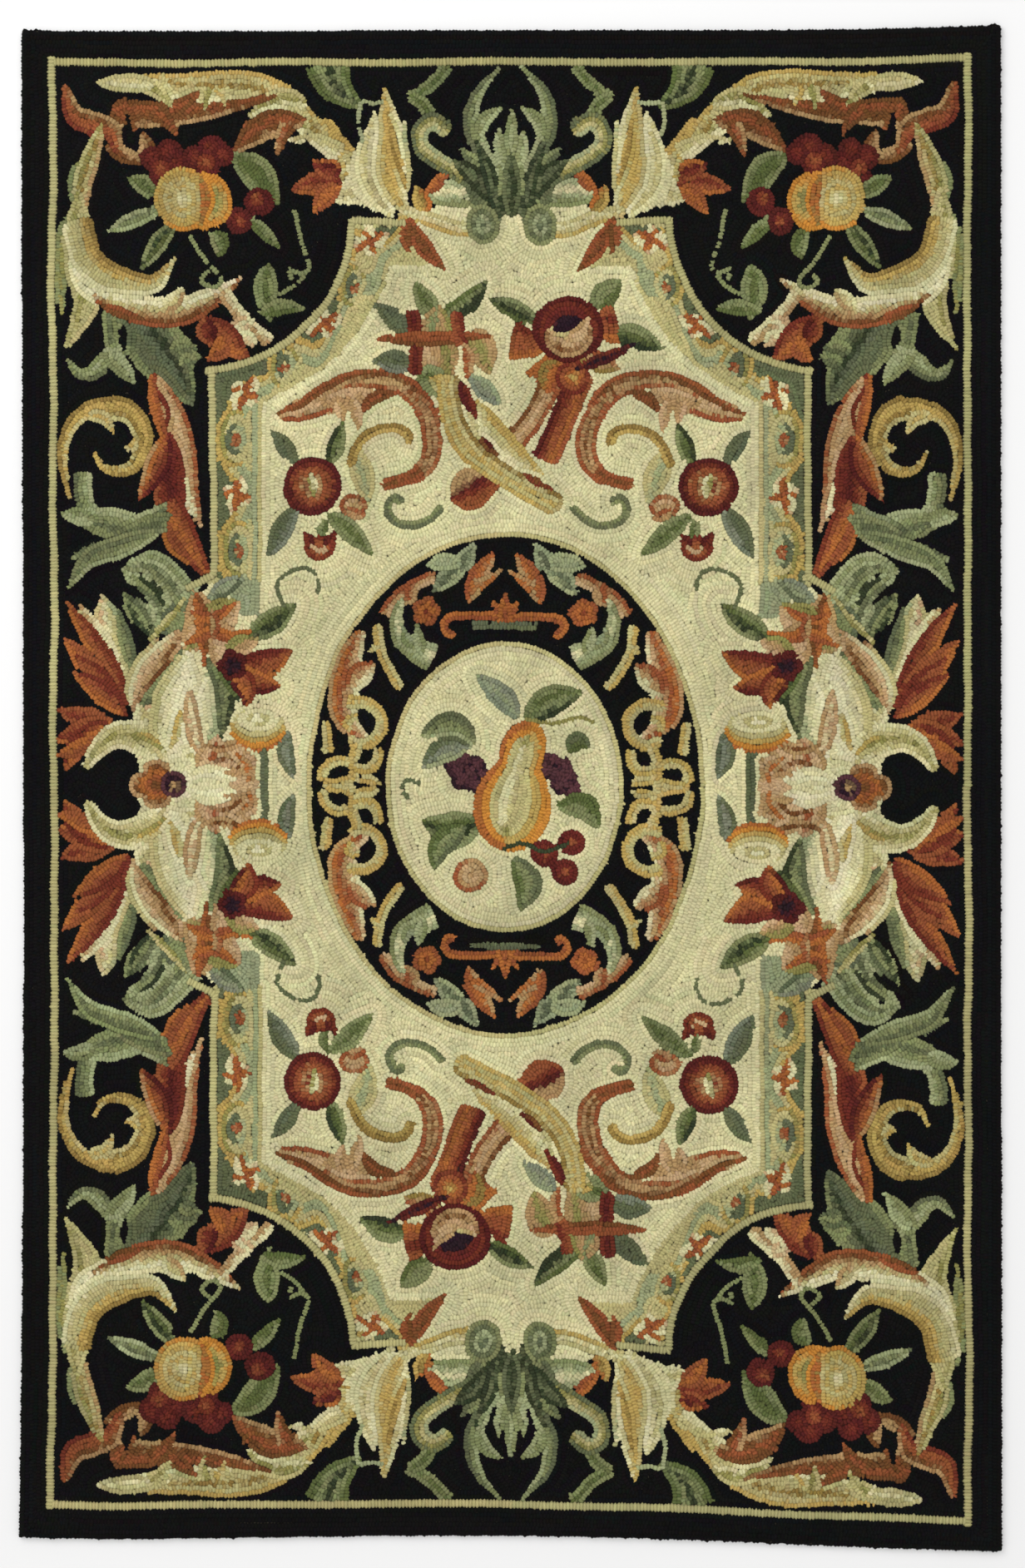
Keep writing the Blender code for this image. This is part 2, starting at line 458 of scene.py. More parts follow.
TOP_PLUME = (
    ("horn", 54, "moss sage forest sage moss", ((213, 848), (202, 818), (172, 792))),
    ("band", 15, "sage moss sage", ((72, 844), (92, 822), (117, 805))),
    ("band", 16, "sage moss sage", ((116, 808), (98, 794), (90, 768))),
    # the cream plume
    ("leaf", 30, "cream ivory straw", ((146, 672), (170, 704), (180, 744))),
    ("leaf", 40, "cream straw cream ivory straw", ((136, 664), (158, 712), (162, 748), (158, 788))),
    ("leaf", 17, "straw cream mist straw", ((121, 690), (125, 732), (122, 780))),
    ("leaf", 34, "straw gold gold straw cream", ((120, 664), (138, 712), (140, 762), (146, 820))),
    ("leaf", 9, "old_gold gold", ((122, 700), (134, 744), (143, 790))),
    # the foot of it all, with its rust leaves
    ("leaf", 34, "mist cream mist sage", ((108, 690), (66, 694), (10, 686))),
    ("band", 18, "straw cream straw gold", ((130, 672), (100, 664), (66, 652), (42, 652))),
    ("petal", 20, "gold old_gold amber", ((96, 672), (104, 686), (110, 704))),
    ("leaf", 15, "rust amber", ((72, 720), (86, 708), (102, 690))),
    ("leaf", 20, "rust brown rust", ((119, 664), (104, 634), (76, 601))),
    ("leaf", 14, "brown rust", ((117, 662), (122, 642), (117, 622))),
    # the grey-green stems, hook and fronds by the middle
    ("leaf", 52, "grey_green forest sage grey_green", ((36, 740), (26, 704), (20, 660))),
    ("band", 20, "grey_green olive straw mist",
     ((36, 704), (74, 726), (102, 746), (105, 766), (90, 778), (72, 764))),
    ("leaf", 18, "grey_green forest grey_green", ((20, 700), (34, 734), (44, 778))),
    ("claw", 21, "grey_green sage mist", ((16, 690), (34, 744), (45, 776), (38, 812), (10, 844))),
    ("leaf", 17, "sage mist", ((38, 756), (30, 780), (10, 796))),
    ("leaf", 18, "grey_green sage", ((26, 706), (40, 726), (58, 748))),
    ("leaf", 24, "forest grey_green forest", ((66, 732), (38, 710), (6, 668))),
    ("leaf", 17, "forest grey_green forest", ((12, 660), (22, 706), (40, 758))),
    ("tendril", 0.5, "mist", ((176, 800), (178, 776), (172, 756))),
    ("tendril", 0.5, "mist", ((172, 801), (160, 799), (148, 801))),
    # the bell in the middle
    ("oval", (20, 24), "sage grey_green mist teal", (33, 657)),
    ("band", 30, "sage mist pale_teal mist sage", ((0, 690), (0, 730), (0, 764))),
    ("leaf", 17, "mist sage", ((8, 720), (12, 745), (14, 770))),
    ("leaf", 16, "sage mist sage", ((0, 730), (0, 760), (0, 794))),
    ("leaf", 22, "grey_green forest grey_green", ((0, 664), (0, 696), (0, 744))),
)

CORNER_SPRAY = (
    # the leaves, the dark berries and the pair of peaches
    ("leaf", 36, "sage moss moss sage", ((322, 740), (296, 722), (268, 682))),
    ("leaf", 24, "sage moss sage", ((404, 690), (424, 704), (444, 712))),
    ("leaf", 20, "mist sage grey_green mist", ((404, 676), (436, 664), (468, 650))),
    ("leaf", 22, "sage moss forest sage", ((388, 660), (408, 636), (430, 604))),
    ("leaf", 22, "moss sage", ((346, 650), (336, 636), (340, 618))),
    ("leaf", 17, "sage moss", ((306, 668), (290, 654), (266, 630))),
    ("leaf", 30, "sage moss sage", ((279, 612), (283, 580), (278, 543))),
    ("leaf", 20, "sage moss", ((292, 554), (264, 561), (236, 558))),
    ("berries", 0.25, "wine wine cherry brick",
     ((414, 736, 15), (395, 744, 15), (404, 716, 14), (386, 730, 12), (364, 736, 16), (346, 748, 16),
      (352, 724, 15), (333, 740, 13), (314, 662, 16), (290, 684, 17))),
    ("berries", 0.25, "brick rust", ((405, 724, 10), (352, 732, 10), (292, 688, 8), (312, 660, 6))),
    ("oval", (30, 35), "orange orange gold olive straw", (352, 685), (-0.3, 0.0)),
    ("oval", (35, 38), "orange gold gold straw gold straw cream", (378, 688), (0.1, 0.05)),
    ("leaf", 11, "amber old_gold amber", ((360, 718), (353, 688), (359, 655))),
    # the bud under them
    ("petal", 22, "blush cream blush", ((322, 530), (310, 542), (300, 550))),
    ("petal", 20, "cream blush", ((318, 524), (304, 524), (294, 516))),
    ("leaf", 36, "brick rust amber rust", ((362, 546), (336, 528), (304, 498))),
    ("petal", 24, "rust brick wine", ((346, 520), (352, 536), (352, 552))),
    ("petal", 22, "rust amber", ((330, 520), (338, 508), (350, 498))),
    ("tendril", 0.5, "sage", ((371, 643), (354, 616), (336, 594), (345, 584), (358, 592), (350, 602))),
    ("tendril", 0.5, "sage", ((251, 674), (243, 639), (234, 608), (244, 600), (256, 605), (254, 594))),
    ("tendril", 0.5, "sage", ((234, 606), (248, 588), (266, 576))),
)

SIDE_SPRAY = (
    # the cream leaf, the rust maple leaf beside it and the pink one
    ("leaf", 54, "straw blush cream straw mist", ((448, 92), (462, 150), (474, 226))),
    ("leaf", 34, "straw tan cream", ((450, 112), (474, 158), (500, 212))),
    ("leaf", 17, "sage grey_green", ((438, 130), (448, 174), (457, 210))),
    ("leaf", 30, "amber rust brick", ((447, 82), (470, 140), (518, 216))),
    ("leaf", 26, "amber rust", ((466, 122), (492, 142), (522, 172))),
    ("leaf", 26, "rust rust brick", ((452, 90), (478, 124), (508, 152))),
    ("leaf", 28, "amber rust brick", ((447, 82), (470, 104), (510, 134))),
    ("leaf", 36, "straw tan brown rust tan", ((440, 86), (426, 130), (411, 172))),
    ("leaf", 46, "cream blush tan brown tan blush", ((440, 86), (414, 130), (383, 184))),
    ("leaf", 16, "sage grey_green", ((436, 88), (404, 120), (382, 160))),
    ("leaf", 30, "rust brick rust", ((462, 74), (494, 76), (526, 87))),
    ("leaf", 32, "amber rust brick rust", ((462, 74), (500, 60), (528, 50))),
    ("leaf", 30, "rust amber brick", ((464, 74), (500, 48), (519, 16))),
    ("leaf", 20, "rust amber", ((486, 56), (506, 40), (528, 34))),
    # the cream iris: its fan, its curl round the open flower and its tall middle petal
    ("leaf", 70, "cream straw straw ivory cream", ((440, 48), (396, 40), (336, 12))),
    ("leaf", 24, "cream straw", ((420, 54), (428, 76), (434, 96))),
    ("leaf", 24, "straw olive cream", ((420, 46), (416, 70), (418, 90))),
    ("leaf", 28, "cream straw olive straw", ((416, 40), (404, 62), (398, 92))),
    ("tail", 50, "cream straw olive straw cream",
     ((494, 20), (480, 42), (460, 57), (436, 57), (406, 50))),
    ("leaf", 64, "straw cream ivory ivory cream", ((396, 20), (388, 88), (374, 162))),
    ("leaf", 42, "ivory cream mist", ((364, 30), (352, 86), (352, 130))),
    ("leaf", 54, "cream ivory cream", ((430, 6), (366, 6), (306, 4))),
    ("leaf", 20, "tan blush cream blush tan", ((374, 114), (370, 72), (362, 44), (344, 26))),
    ("leaf", 12, "straw gold", ((384, 88), (388, 66), (396, 42))),
    ("leaf", 10, "gold olive", ((436, 62), (416, 52), (400, 38))),
    ("bloom", 33, "tan brown amber rust brown", (411, 2), 4, 0.35, 0.0, 0.82),
    ("oval", (16, 15), "plum night tan", (391, 1)),
    # the ruffled flower: its outer petals, then the pale one that points into it
    ("petal", 40, "tan blush blush tan", ((352, 10), (328, 30), (302, 58))),
    ("petal", 42, "tan blush rust blush tan", ((356, 10), (346, 30), (340, 58))),
    ("petal", 44, "blush tan blush tan", ((344, 0), (318, 14), (292, 32))),
    ("petal", 44, "tan blush blush tan", ((344, -8), (316, 0), (290, 4))),
    ("leaf", 9, "brown tan", ((362, 50), (334, 42), (302, 52))),
    ("leaf", 9, "tan amber", ((318, 36), (302, 22), (304, 2))),
    ("leaf", 9, "brown blush", ((352, 26), (328, 28), (312, 18))),
    ("leaf", 18, "cream ivory", ((374, 8), (350, 16), (326, 18))),
    ("leaf", 18, "ivory cream", ((376, 2), (346, 6), (316, 8))),
    ("leaf", 22, "cream ivory cream", ((378, 0), (346, -4), (318, -6))),
    # the stems and the leaves round them
    ("leaf", 26, "forest sage grey_green", ((352, 150), (332, 112), (336, 56))),
    ("leaf", 12, "forest moss", ((340, 140), (322, 112), (314, 96))),
    ("band", 10, "grey_green teal", ((284, 44), (283, 20), (284, -4))),
    ("leaf", 22, "teal slate grey_green", ((252, 62), (256, 38), (246, 8))),
    ("leaf", 30, "sage moss forest sage", ((304, 172), (276, 190), (246, 214))),
    ("leaf", 22, "slate pale_teal teal", ((352, 214), (330, 232), (308, 244))),
    # the open rose over the iris, and the maple leaf on it
    ("petal", 44, "tan blush olive tan", ((346, 176), (358, 200), (366, 226))),
    ("petal", 46, "tan olive blush tan", ((346, 192), (362, 176), (378, 158))),
    ("petal", 44, "olive tan blush", ((352, 182), (332, 200), (314, 214))),
    ("petal", 44, "tan blush tan", ((352, 188), (336, 164), (340, 138))),
    ("leaf", 17, "brown rust amber", ((365, 228), (358, 190), (355, 138))),
    ("leaf", 16, "amber rust", ((380, 164), (350, 178), (324, 174), (296, 180))),
    ("leaf", 14, "rust amber", ((372, 204), (346, 196), (318, 212))),
    ("leaf", 12, "rust tan", ((346, 204), (342, 186), (346, 168))),
    ("leaf", 30, "olive tan blush", ((328, 146), (312, 162), (290, 170))),
    ("leaf", 36, "cherry brick rust rust amber", ((324, 140), (288, 140), (250, 158))),
    ("leaf", 32, "amber rust brick wine", ((324, 138), (296, 122), (262, 116))),
    ("leaf", 30, "brick rust amber wine", ((324, 138), (306, 116), (302, 90))),
    ("bloom", 19, "wine night", (322, 141), 5, 0.3),
    # the apple, in ovals that each stand higher than the one before
    ("oval", (34, 24), "amber", (290, 64)), ("oval", (34, 23), "orange", (290, 66)),
    ("oval", (33, 20), "gold", (290, 70)), ("oval", (31, 17), "straw", (290, 73)),
    ("oval", (27, 13), "cream", (290, 76)), ("oval", (15, 7), "straw", (290, 77)),
    ("oval", (9, 4), "ivory", (290, 77)),
    ("tendril", 0.5, "grey_green",
     ((262, 210), (270, 234), (254, 251), (230, 254), (219, 238), (220, 226))),
)

FIELD_MOTIFS = (
    # the long tan leaf, the rust scroll that it ends in and the gold curl inside it
    ("leaf", 28, "tan blush tan", ((272, 434), (232, 442), (196, 452), (158, 452))),
    ("petal", 38, "tan blush tan tan", ((222, 452), (192, 456), (160, 462))),
    ("leaf", 15, "blush tan", ((184, 456), (179, 436), (175, 414))),
    ("leaf", 14, "tan blush", ((202, 450), (197, 438), (194, 424))),
    ("scroll", 25, "rust brown tan tan rust",
     ((222, 456), (190, 472), (147, 475), (116, 461), (97, 434), (90, 404),
      (94, 378), (112, 360), (147, 350))),
    ("leaf", 25, "rust tan brown tan rust",
     ((122, 464), (98, 436), (90, 404), (94, 378), (112, 360), (150, 349))),
    ("band", 15, "rust brown rust", ((102, 368), (120, 357), (145, 351))),
    ("leaf", 11, "rust brown", ((275, 434), (244, 446), (212, 468), (180, 482), (142, 486))),
    ("leaf", 7, "rust", ((268, 428), (236, 430), (206, 440))),
    ("leaf", 15, "brown rust brown", ((172, 436), (158, 454), (130, 462))),
    ("leaf", 30, "straw mist straw", ((183, 394), (170, 362), (163, 328))),
    ("band", 12, "old_gold gold",
     ((187, 372), (178, 394), (166, 408), (149, 416), (132, 417), (120, 410), (117, 398))),
    # the leaves round the dark round fruit, then the bud under the ribbons
    ("leaf", 20, "teal grey_green", ((248, 376), (262, 398), (278, 416))),
    ("leaf", 21, "forest moss sage", ((212, 376), (202, 400), (194, 424))),
    ("leaf", 27, "slate teal grey_green", ((248, 326), (264, 300), (282, 266))),
    ("leaf", 25, "sage moss sage", ((212, 318), (188, 300), (156, 270))),
    ("leaf", 12, "moss sage", ((214, 312), (216, 298), (213, 286))),
    # the round fruit, the rosebud beside it and the bud under it
    ("oval", (34, 35), "wine wine brick rust rust tan brick cream", (230, 350), (0.0, 0.05)),
    ("leaf", 11, "cream olive", ((233, 368), (229, 352), (228, 334))),
    ("oval", (17, 14), "rust tan blush tan", (181, 327)),
    ("petal", 14, "rust tan", ((188, 322), (176, 316), (166, 314))),
    ("oval", (18, 14), "brick rust rust", (219, 278)),
    ("petal", 13, "brick wine", ((226, 280), (232, 288), (237, 297))),
    ("petal", 13, "wine brick", ((212, 280), (206, 288), (201, 296))),
    ("leaf", 6, "blush", ((229, 281), (218, 275), (206, 283))),
    # the hook by the ring
    ("band", 10, "grey_green sage",
     ((75, 328), (89, 313), (109, 305), (129, 309), (139, 323), (132, 336), (119, 332))),
)

RING_LEAVES = (
    # at the end of the oval
    ("leaf", 26, "pale_teal teal mist", ((84, 226), (66, 246), (32, 284))),
    ("leaf", 22, "mist pale_teal mist", ((92, 257), (70, 262), (44, 258))),
    ("leaf", 16, "teal pale_teal", ((52, 250), (44, 262), (36, 280))),
    ("leaf", 25, "rust amber tan", ((43, 214), (33, 242), (12, 274))),
    ("horn", 16, "tan amber", ((34, 232), (18, 243), (2, 255))),
    ("band", 10, "rust amber", ((-4, 199), (40, 200), (62, 199), (71, 190), (67, 180), (58, 178))),
    ("horn", 18, "rust amber", ((-6, 198), (6, 206), (16, 216))),
    ("horn", 24, "amber rust amber", ((0, 186), (0, 206), (0, 228))),
    ("band", 8, "grey_green teal", ((-4, 189), (38, 188))),
    # in its corners
    ("band", 15, "rust tan blush", ((142, 200), (128, 219), (108, 233), (82, 245))),
    ("petal", 16, "tan rust", ((108, 234), (110, 222), (118, 212))),
    ("tail", 33, "mist cream mist sage", ((120, 220), (126, 198), (121, 175), (106, 162), (82, 151))),
    ("leaf", 13, "pale_teal sage", ((118, 186), (112, 171), (96, 161))),
    ("leaf", 14, "mist sage", ((95, 154), (99, 172), (102, 190))),
    ("band", 12, "straw gold", ((150, 190), (146, 162), (136, 140), (120, 114))),
    ("petal", 9, "gold straw", ((146, 162), (152, 160), (158, 156))),
    # down its sides
    ("scroll", 38, "cream blush tan rust amber tan",
     ((168, 182), (180, 146), (188, 108), (185, 78), (160, 54))),
    ("leaf", 28, "cream tan rust", ((150, 142), (167, 130), (184, 106))),
    ("band", 14, "gold straw", ((184, 96), (164, 98), (146, 86), (144, 66), (160, 50), (182, 54))),
    ("band", 10, "straw gold", ((170, 82), (182, 78), (180, 66))),
    ("band", 12, "gold straw", ((210, 76), (206, 36))),
    ("band", 13, "straw gold", ((170, 50), (177, 28), (176, 10), (190, 3), (212, 1))),
    ("band", 12, "gold straw", ((214, 5), (210, 20), (198, 28), (182, 28))),
    ("band", 12, "straw gold", ((176, 22), (158, 20), (148, 30), (146, 44))),
    ("leaf", 13, "gold straw", ((146, 4), (160, 8), (176, 6))),
    ("bloom", 17, "rust amber amber brick", (92, 205), 5, 0.25, 0.5),
)

FIELD_GROUP = (
    # the leaves and the barred flower on the left
    ("leaf", 26, "forest forest sage moss", ((-84, 540), (-54, 562), (-26, 592))),
    ("leaf", 26, "sage moss sage", ((-84, 544), (-97, 566), (-110, 590))),
    ("leaf", 24, "teal grey_green", ((-120, 526), (-136, 546), (-158, 564))),
    ("leaf", 28, "teal grey_green slate", ((-114, 490), (-138, 496), (-162, 496))),
    ("leaf", 24, "sage forest moss", ((30, 540), (6, 556), (-26, 570))),
    ("petal", 42, "olive tan sage tan", ((-84, 512), (-86, 536), (-82, 562))),
    ("petal", 50, "tan blush tan olive tan", ((-92, 524), (-84, 500), (-74, 468))),
    ("petal", 38, "tan olive tan", ((-52, 528), (-36, 512), (-26, 480))),
    ("leaf", 34, "sage moss sage", ((-112, 482), (-90, 474), (-66, 456))),
    ("leaf", 24, "straw olive gold", ((-96, 474), (-78, 466), (-64, 440))),
    ("band", 17, "brick wine brick", ((-112, 480), (-110, 516), (-114, 556))),
    ("leaf", 17, "brown rust rust", ((-158, 522), (-90, 523), (-20, 526))),
    ("band", 14, "brick rust", ((-58, 514), (-60, 532), (-64, 554))),
    ("leaf", 14, "rust tan", ((-58, 520), (-50, 500), (-52, 472))),
    # the leaves round the rose on the right
    ("leaf", 30, "moss sage sage", ((94, 558), (110, 576), (128, 594))),
    ("leaf", 28, "forest moss sage", ((116, 530), (144, 526), (178, 511))),
    # the two crossing ribbons
    ("band", 31, "wine brick rust amber rust", ((82, 484), (64, 434), (41, 380))),
    ("band", 26, "brown tan blush tan rust", ((50, 478), (32, 438), (6, 402))),
    ("drop", 50, "tan tan wine brick rust rust", ((8, 368), (-28, 354), (-66, 334))),
    ("leaf", 40, "straw cream straw gold", ((-46, 452), (-16, 402), (44, 358))),
    ("band", 27, "gold straw gold straw old_gold",
     ((-74, 480), (-68, 432), (-46, 394), (0, 360), (62, 326))),
    ("leaf", 14, "wine brick", ((-59, 474), (-50, 450), (-38, 428))),
    ("leaf", 9, "brown wine", ((-36, 410), (-25, 397), (-10, 388))),
    ("leaf", 9, "brick brown", ((16, 366), (34, 356), (56, 346))),
    ("leaf", 22, "slate pale_teal", ((-50, 478), (-34, 464), (-12, 444))),
    # the rose: loose outer petals, a rosette, a ring of tight petals, a dark heart and a pale fold
    ("fan", 50, "brick rust rust amber", ((50, 522), (26, 516), (0, 520))),
    ("fan", 40, "amber rust brick", ((56, 512), (44, 492), (32, 470))),
    ("fan", 50, "amber rust brick rust", ((76, 532), (100, 536), (124, 540))),
    ("petal", 26, "old_gold tan rust", ((82, 506), (104, 494), (126, 488))),
    ("petal", 30, "old_gold amber rust", ((58, 494), (46, 480), (42, 458))),
    ("oval", (21, 20), "brick rust amber gold", (72, 477)),
    ("leaf", 15, "wine night brick", ((74, 486), (110, 502), (144, 518))),
    ("oval", (41, 39), "wine brick rust brick brick", (66, 534)),
    ("oval", (28, 27), "cherry night night", (66, 534)),
    ("leaf", 29, "tan brown tan blush tan straw", arc((66, 534), (22, 19), 178, 378, 12)),
    ("petal", 12, "blush tan", ((66, 524), (82, 536), (92, 550))),
)

FRUIT_SPRAY = (
    # a spray of the hooker's usual fruit and leaves, for the oval in the middle
    ("leaf", 36, "forest sage moss sage", ((22, 78), (50, 100), (92, 112))),
    ("leaf", 26, "slate pale_teal slate", ((16, 80), (-2, 106), (-34, 134))),
    ("leaf", 34, "grey_green sage mist", ((-34, 50), (-62, 72), (-98, 60))),
    ("leaf", 30, "grey_green slate mist", ((-40, 46), (-70, 44), (-96, 22))),
    ("leaf", 44, "sage moss forest sage", ((-30, -38), (-62, -52), (-96, -40))),
    ("leaf", 30, "moss sage grey_green", ((-46, -46), (-74, -70), (-82, -98))),
    ("leaf", 34, "moss sage grey_green", ((8, -84), (26, -112), (16, -148))),
    ("leaf", 30, "sage moss", ((62, -22), (92, -22), (112, -48))),
    ("leaf", 24, "moss grey_green", ((70, 44), (86, 54), (100, 46))),
    # the pear, in rings from its rim inwards
    ("pear", 92, "amber amber orange orange", ((30, 78), (18, 26), (-2, -76))),
    ("pear", 70, "orange gold", ((28, 68), (16, 22), (-2, -66))),
    ("pear", 50, "straw olive straw", ((27, 58), (15, 16), (-2, -58))),
    ("pear", 26, "cream straw", ((25, 48), (14, 10), (-2, -46))),
    # the red berries, the small peach and the tendrils
    ("berries", 0.25, "wine cherry cherry rust", ((46, -78, 17), (78, -64, 16), (70, -100, 16))),
    ("oval", (19, 20), "rust tan blush tan", (-40, -104), (0.2, 0.2)),
    ("tendril", 0.5, "forest", ((-2, -72), (22, -66), (46, -76), (74, -66))),
    ("tendril", 0.5, "olive", ((24, 80), (56, 76), (88, 82), (106, 76))),
    ("tendril", 0.5, "grey_green", ((-98, 4), (-112, 8), (-120, -4), (-112, -14))),
)


def field_depth(out, up):
    """How far inside the cream field's edge a point lies, in millimetres of the frame."""
    side = FIELD_SIDE - out
    side = np.minimum(side, LINE_WIDTH + (side - LINE_WIDTH) * SIDE_FRAME_SHARE)
    (bite_out, bite_up), radius = FIELD_BITE
    return np.minimum(np.minimum(side, FIELD_END - up), np.hypot(out - bite_out, up - bite_up) - radius)


def lay_grounds(chart):
    """The black ground, the plain edge, the cream field with its frame, and the oval ring."""
    part, out, up = chart.whole()

    def lay(zone, mask, yarn):
        chart.zone = zone
        chart.fill(part, mask, number(yarn))

    def within(middle, radii, more=0):
        return ellipse(out, up, middle, np.add(radii, more)) < 1

    lay("ground", out == out, "black")
    beyond = np.maximum(out - GUARD_LINE[0], up - GUARD_LINE[1])
    lay("border", beyond > LINE_WIDTH / 2, "black")
    lay("guard_line", np.abs(beyond) <= LINE_WIDTH / 2, "flax")

    inside = field_depth(out, up)
    framed = (up > FRAME_FOOT) & (inside > 0)
    middle = (out < FIELD_MIDDLE[0]) & (up < FIELD_MIDDLE[1])
    lay("field", framed | within(*WAIST) | within(*HEAD) | middle, "cream")

    framed &= out + FRAME_HEAD[1] * (FIELD_END - up) > FRAME_HEAD[0]
    along = np.where(out > WAVE_SIDE, up, SHOULDER + WAVE_ROUND_BITE * (FIELD_SIDE - 5 - out))
    wave = WAVE_DEPTH + WAVE_HEIGHT * np.cos(math.tau * (along - WAVE_CREST) / WAVE_LENGTH)
    above = 0
    for depth, waves, yarn in FRAME_BANDS:
        depth = depth + waves * wave
        lay("frame", framed & (inside > above) & (inside <= depth), yarn)
        above = depth
    (low, high), (shallow, deep) = FOOT_BAND
    lay("frame", (up > low) & (up <= high) & (inside > shallow) & (inside <= deep), "pale_teal")

    lay("ring", within(*RING_OUTER, RING_LINE), "straw")
    lay("ring", within(*RING_OUTER), "black")
    lay("centre", within(*RING_INNER), "straw")
    lay("centre", within(*RING_INNER, -RING_LINE), "cream")


def frame_curl(chart, centre, facing, size):
    """A soft curl on the frame: a gold band and a green one round the outer side of a rust bud."""
    angle = math.degrees(facing)
    gold = arc(centre, (19 * size, 31 * size), angle - 120, angle + 125, 14)
    green = arc(centre, (7 * size, 16 * size), angle - 130, angle + 110, 12)
    chart.oval(centre, (17 * size, 29 * size), "straw mist straw", turn=facing)
    chart.blade("leaf", 13 * size, "gold olive", gold)
    chart.blade("leaf", 11 * size, "teal grey_green", green)
    chart.oval(np.add(centre, (-1, -2)), (6 * size, 8 * size), "rust tan", turn=facing)


def frame_blossom(chart, centre, facing):
    """A small cream blossom on the frame, crossed by rust."""
    for ray in range(4):
        angle = facing + math.tau * ray / 4
        way = np.array((math.cos(angle), math.sin(angle)))
        side = np.array((-way[1], way[0])) * 5
        tip = centre + way * (22 if ray % 2 else 17)
        chart.blade("petal", 17, "blush cream", (centre, centre + way * 10 + side, tip + side))
        chart.blade("leaf", 9, "rust amber", (centre - way * 3, centre + way * 8, tip))


def quarter_chart():
    """The quarter of the design that the other three repeat."""
    chart = Chart(0, HALF_WIDTH + CHART_SPARE, 0, HALF_LENGTH + CHART_SPARE)
    lay_grounds(chart)
    chart.zone = "frame"
    for centre, facing, size in FRAME_CURLS:
        frame_curl(chart, centre, facing, size)
    for centre, facing in FRAME_BLOSSOMS:
        frame_blossom(chart, np.array(centre, float), facing)
    chart.draw("field_motifs", FIELD_MOTIFS)
    chart.draw("ring", RING_LEAVES)
    chart.draw("scrollwork", SIDE_SCROLLS)
    chart.draw("sprays", SIDE_SPRAY)
    chart.draw("scrollwork", CORNER_SCROLLS, TOP_PLUME)
    chart.draw("sprays", CORNER_SPRAY)
    draw_lines(chart)
    return chart


def draw_lines(chart):
    """The guard line, the line along the cream field's edge and those along the ring."""
    half = LINE_WIDTH / 2
    out, up = GUARD_LINE
    (bite, radius), past = FIELD_BITE, FIELD_SIDE - half
    edge = [(FRAME_HEAD[0] + 8, FIELD_END - half), *arc(bite, (radius + half,) * 2, 180 + 1.6, 265.5)]
    edge += [(past, SHOULDER - 2), (past, SIDE_FOOT - 2), (FIELD_SIDE + 24, SIDE_FOOT - 18)]
    straight = (
        # zone, points
        ("guard_line", ((out, 0), (out, up + 4))),
        ("guard_line", ((out - 4, up), (0, up))),
        ("frame", edge),
    )
    for zone, points in straight:
        chart.zone = zone
        chart.line("flax", points, smooth=False, breadth=LINE_BREADTH)
    rounds = (
        # zone, oval, how far outside it the line runs
        ("ring", RING_OUTER, RING_LINE / 2), ("centre", RING_INNER, -RING_LINE / 2),
    )
    for zone, (middle, radii), more in rounds:
        chart.zone = zone
        chart.line("straw", arc(middle, np.add(radii, more), 0, 90))


def group_chart():
    """The flowers and ribbons in the upper half of the field. The lower half has them turned round."""
    chart = Chart(*GROUP_WINDOW)
    chart.draw("field_motifs", FIELD_GROUP)
    return chart


def centre_chart():
    """The fruit in the middle oval."""
    chart = Chart(*CENTRE_WINDOW)
    grapes = [(-34 - 14 * (k % 3) + 5 * (k // 3), 26 - 13 * (k // 3) + 4 * (k % 3), 11) for k in range(9)]
    others = [(out + 102, up - 2, size) for out, up, size in grapes[:8]]
    chart.draw("centre", (("berries", 0.25, "night plum plum", grapes + others),), FRUIT_SPRAY)
    return chart


# ------------------------------------------------------------------------------ the rug's own ground

DEEPEST = 64  # rows echo their outlines to this depth, in squares
MARGIN = 8  # squares round the rug on its grid
NARROW_LEFT = (3.4, 350)  # how far the design lies to the left there, in millimetres, whole from this out
LOW_SLANT = 0.0056  # how steeply the design's lower end leans down to the right
WANDER = 1.1  # about how far the design wanders, in millimetres
WANDER_LENGTHS = (61, 87, 118, 163, 214)
GROUP_WINDOW = (-210, 210, 300, 640)  # left, right, low and high
CENTRE_WINDOW = (-140, 140, -175, 175)
GROUP_FIRST, CENTRE_FIRST = 1000, 2000  # where the numbers of their shapes start


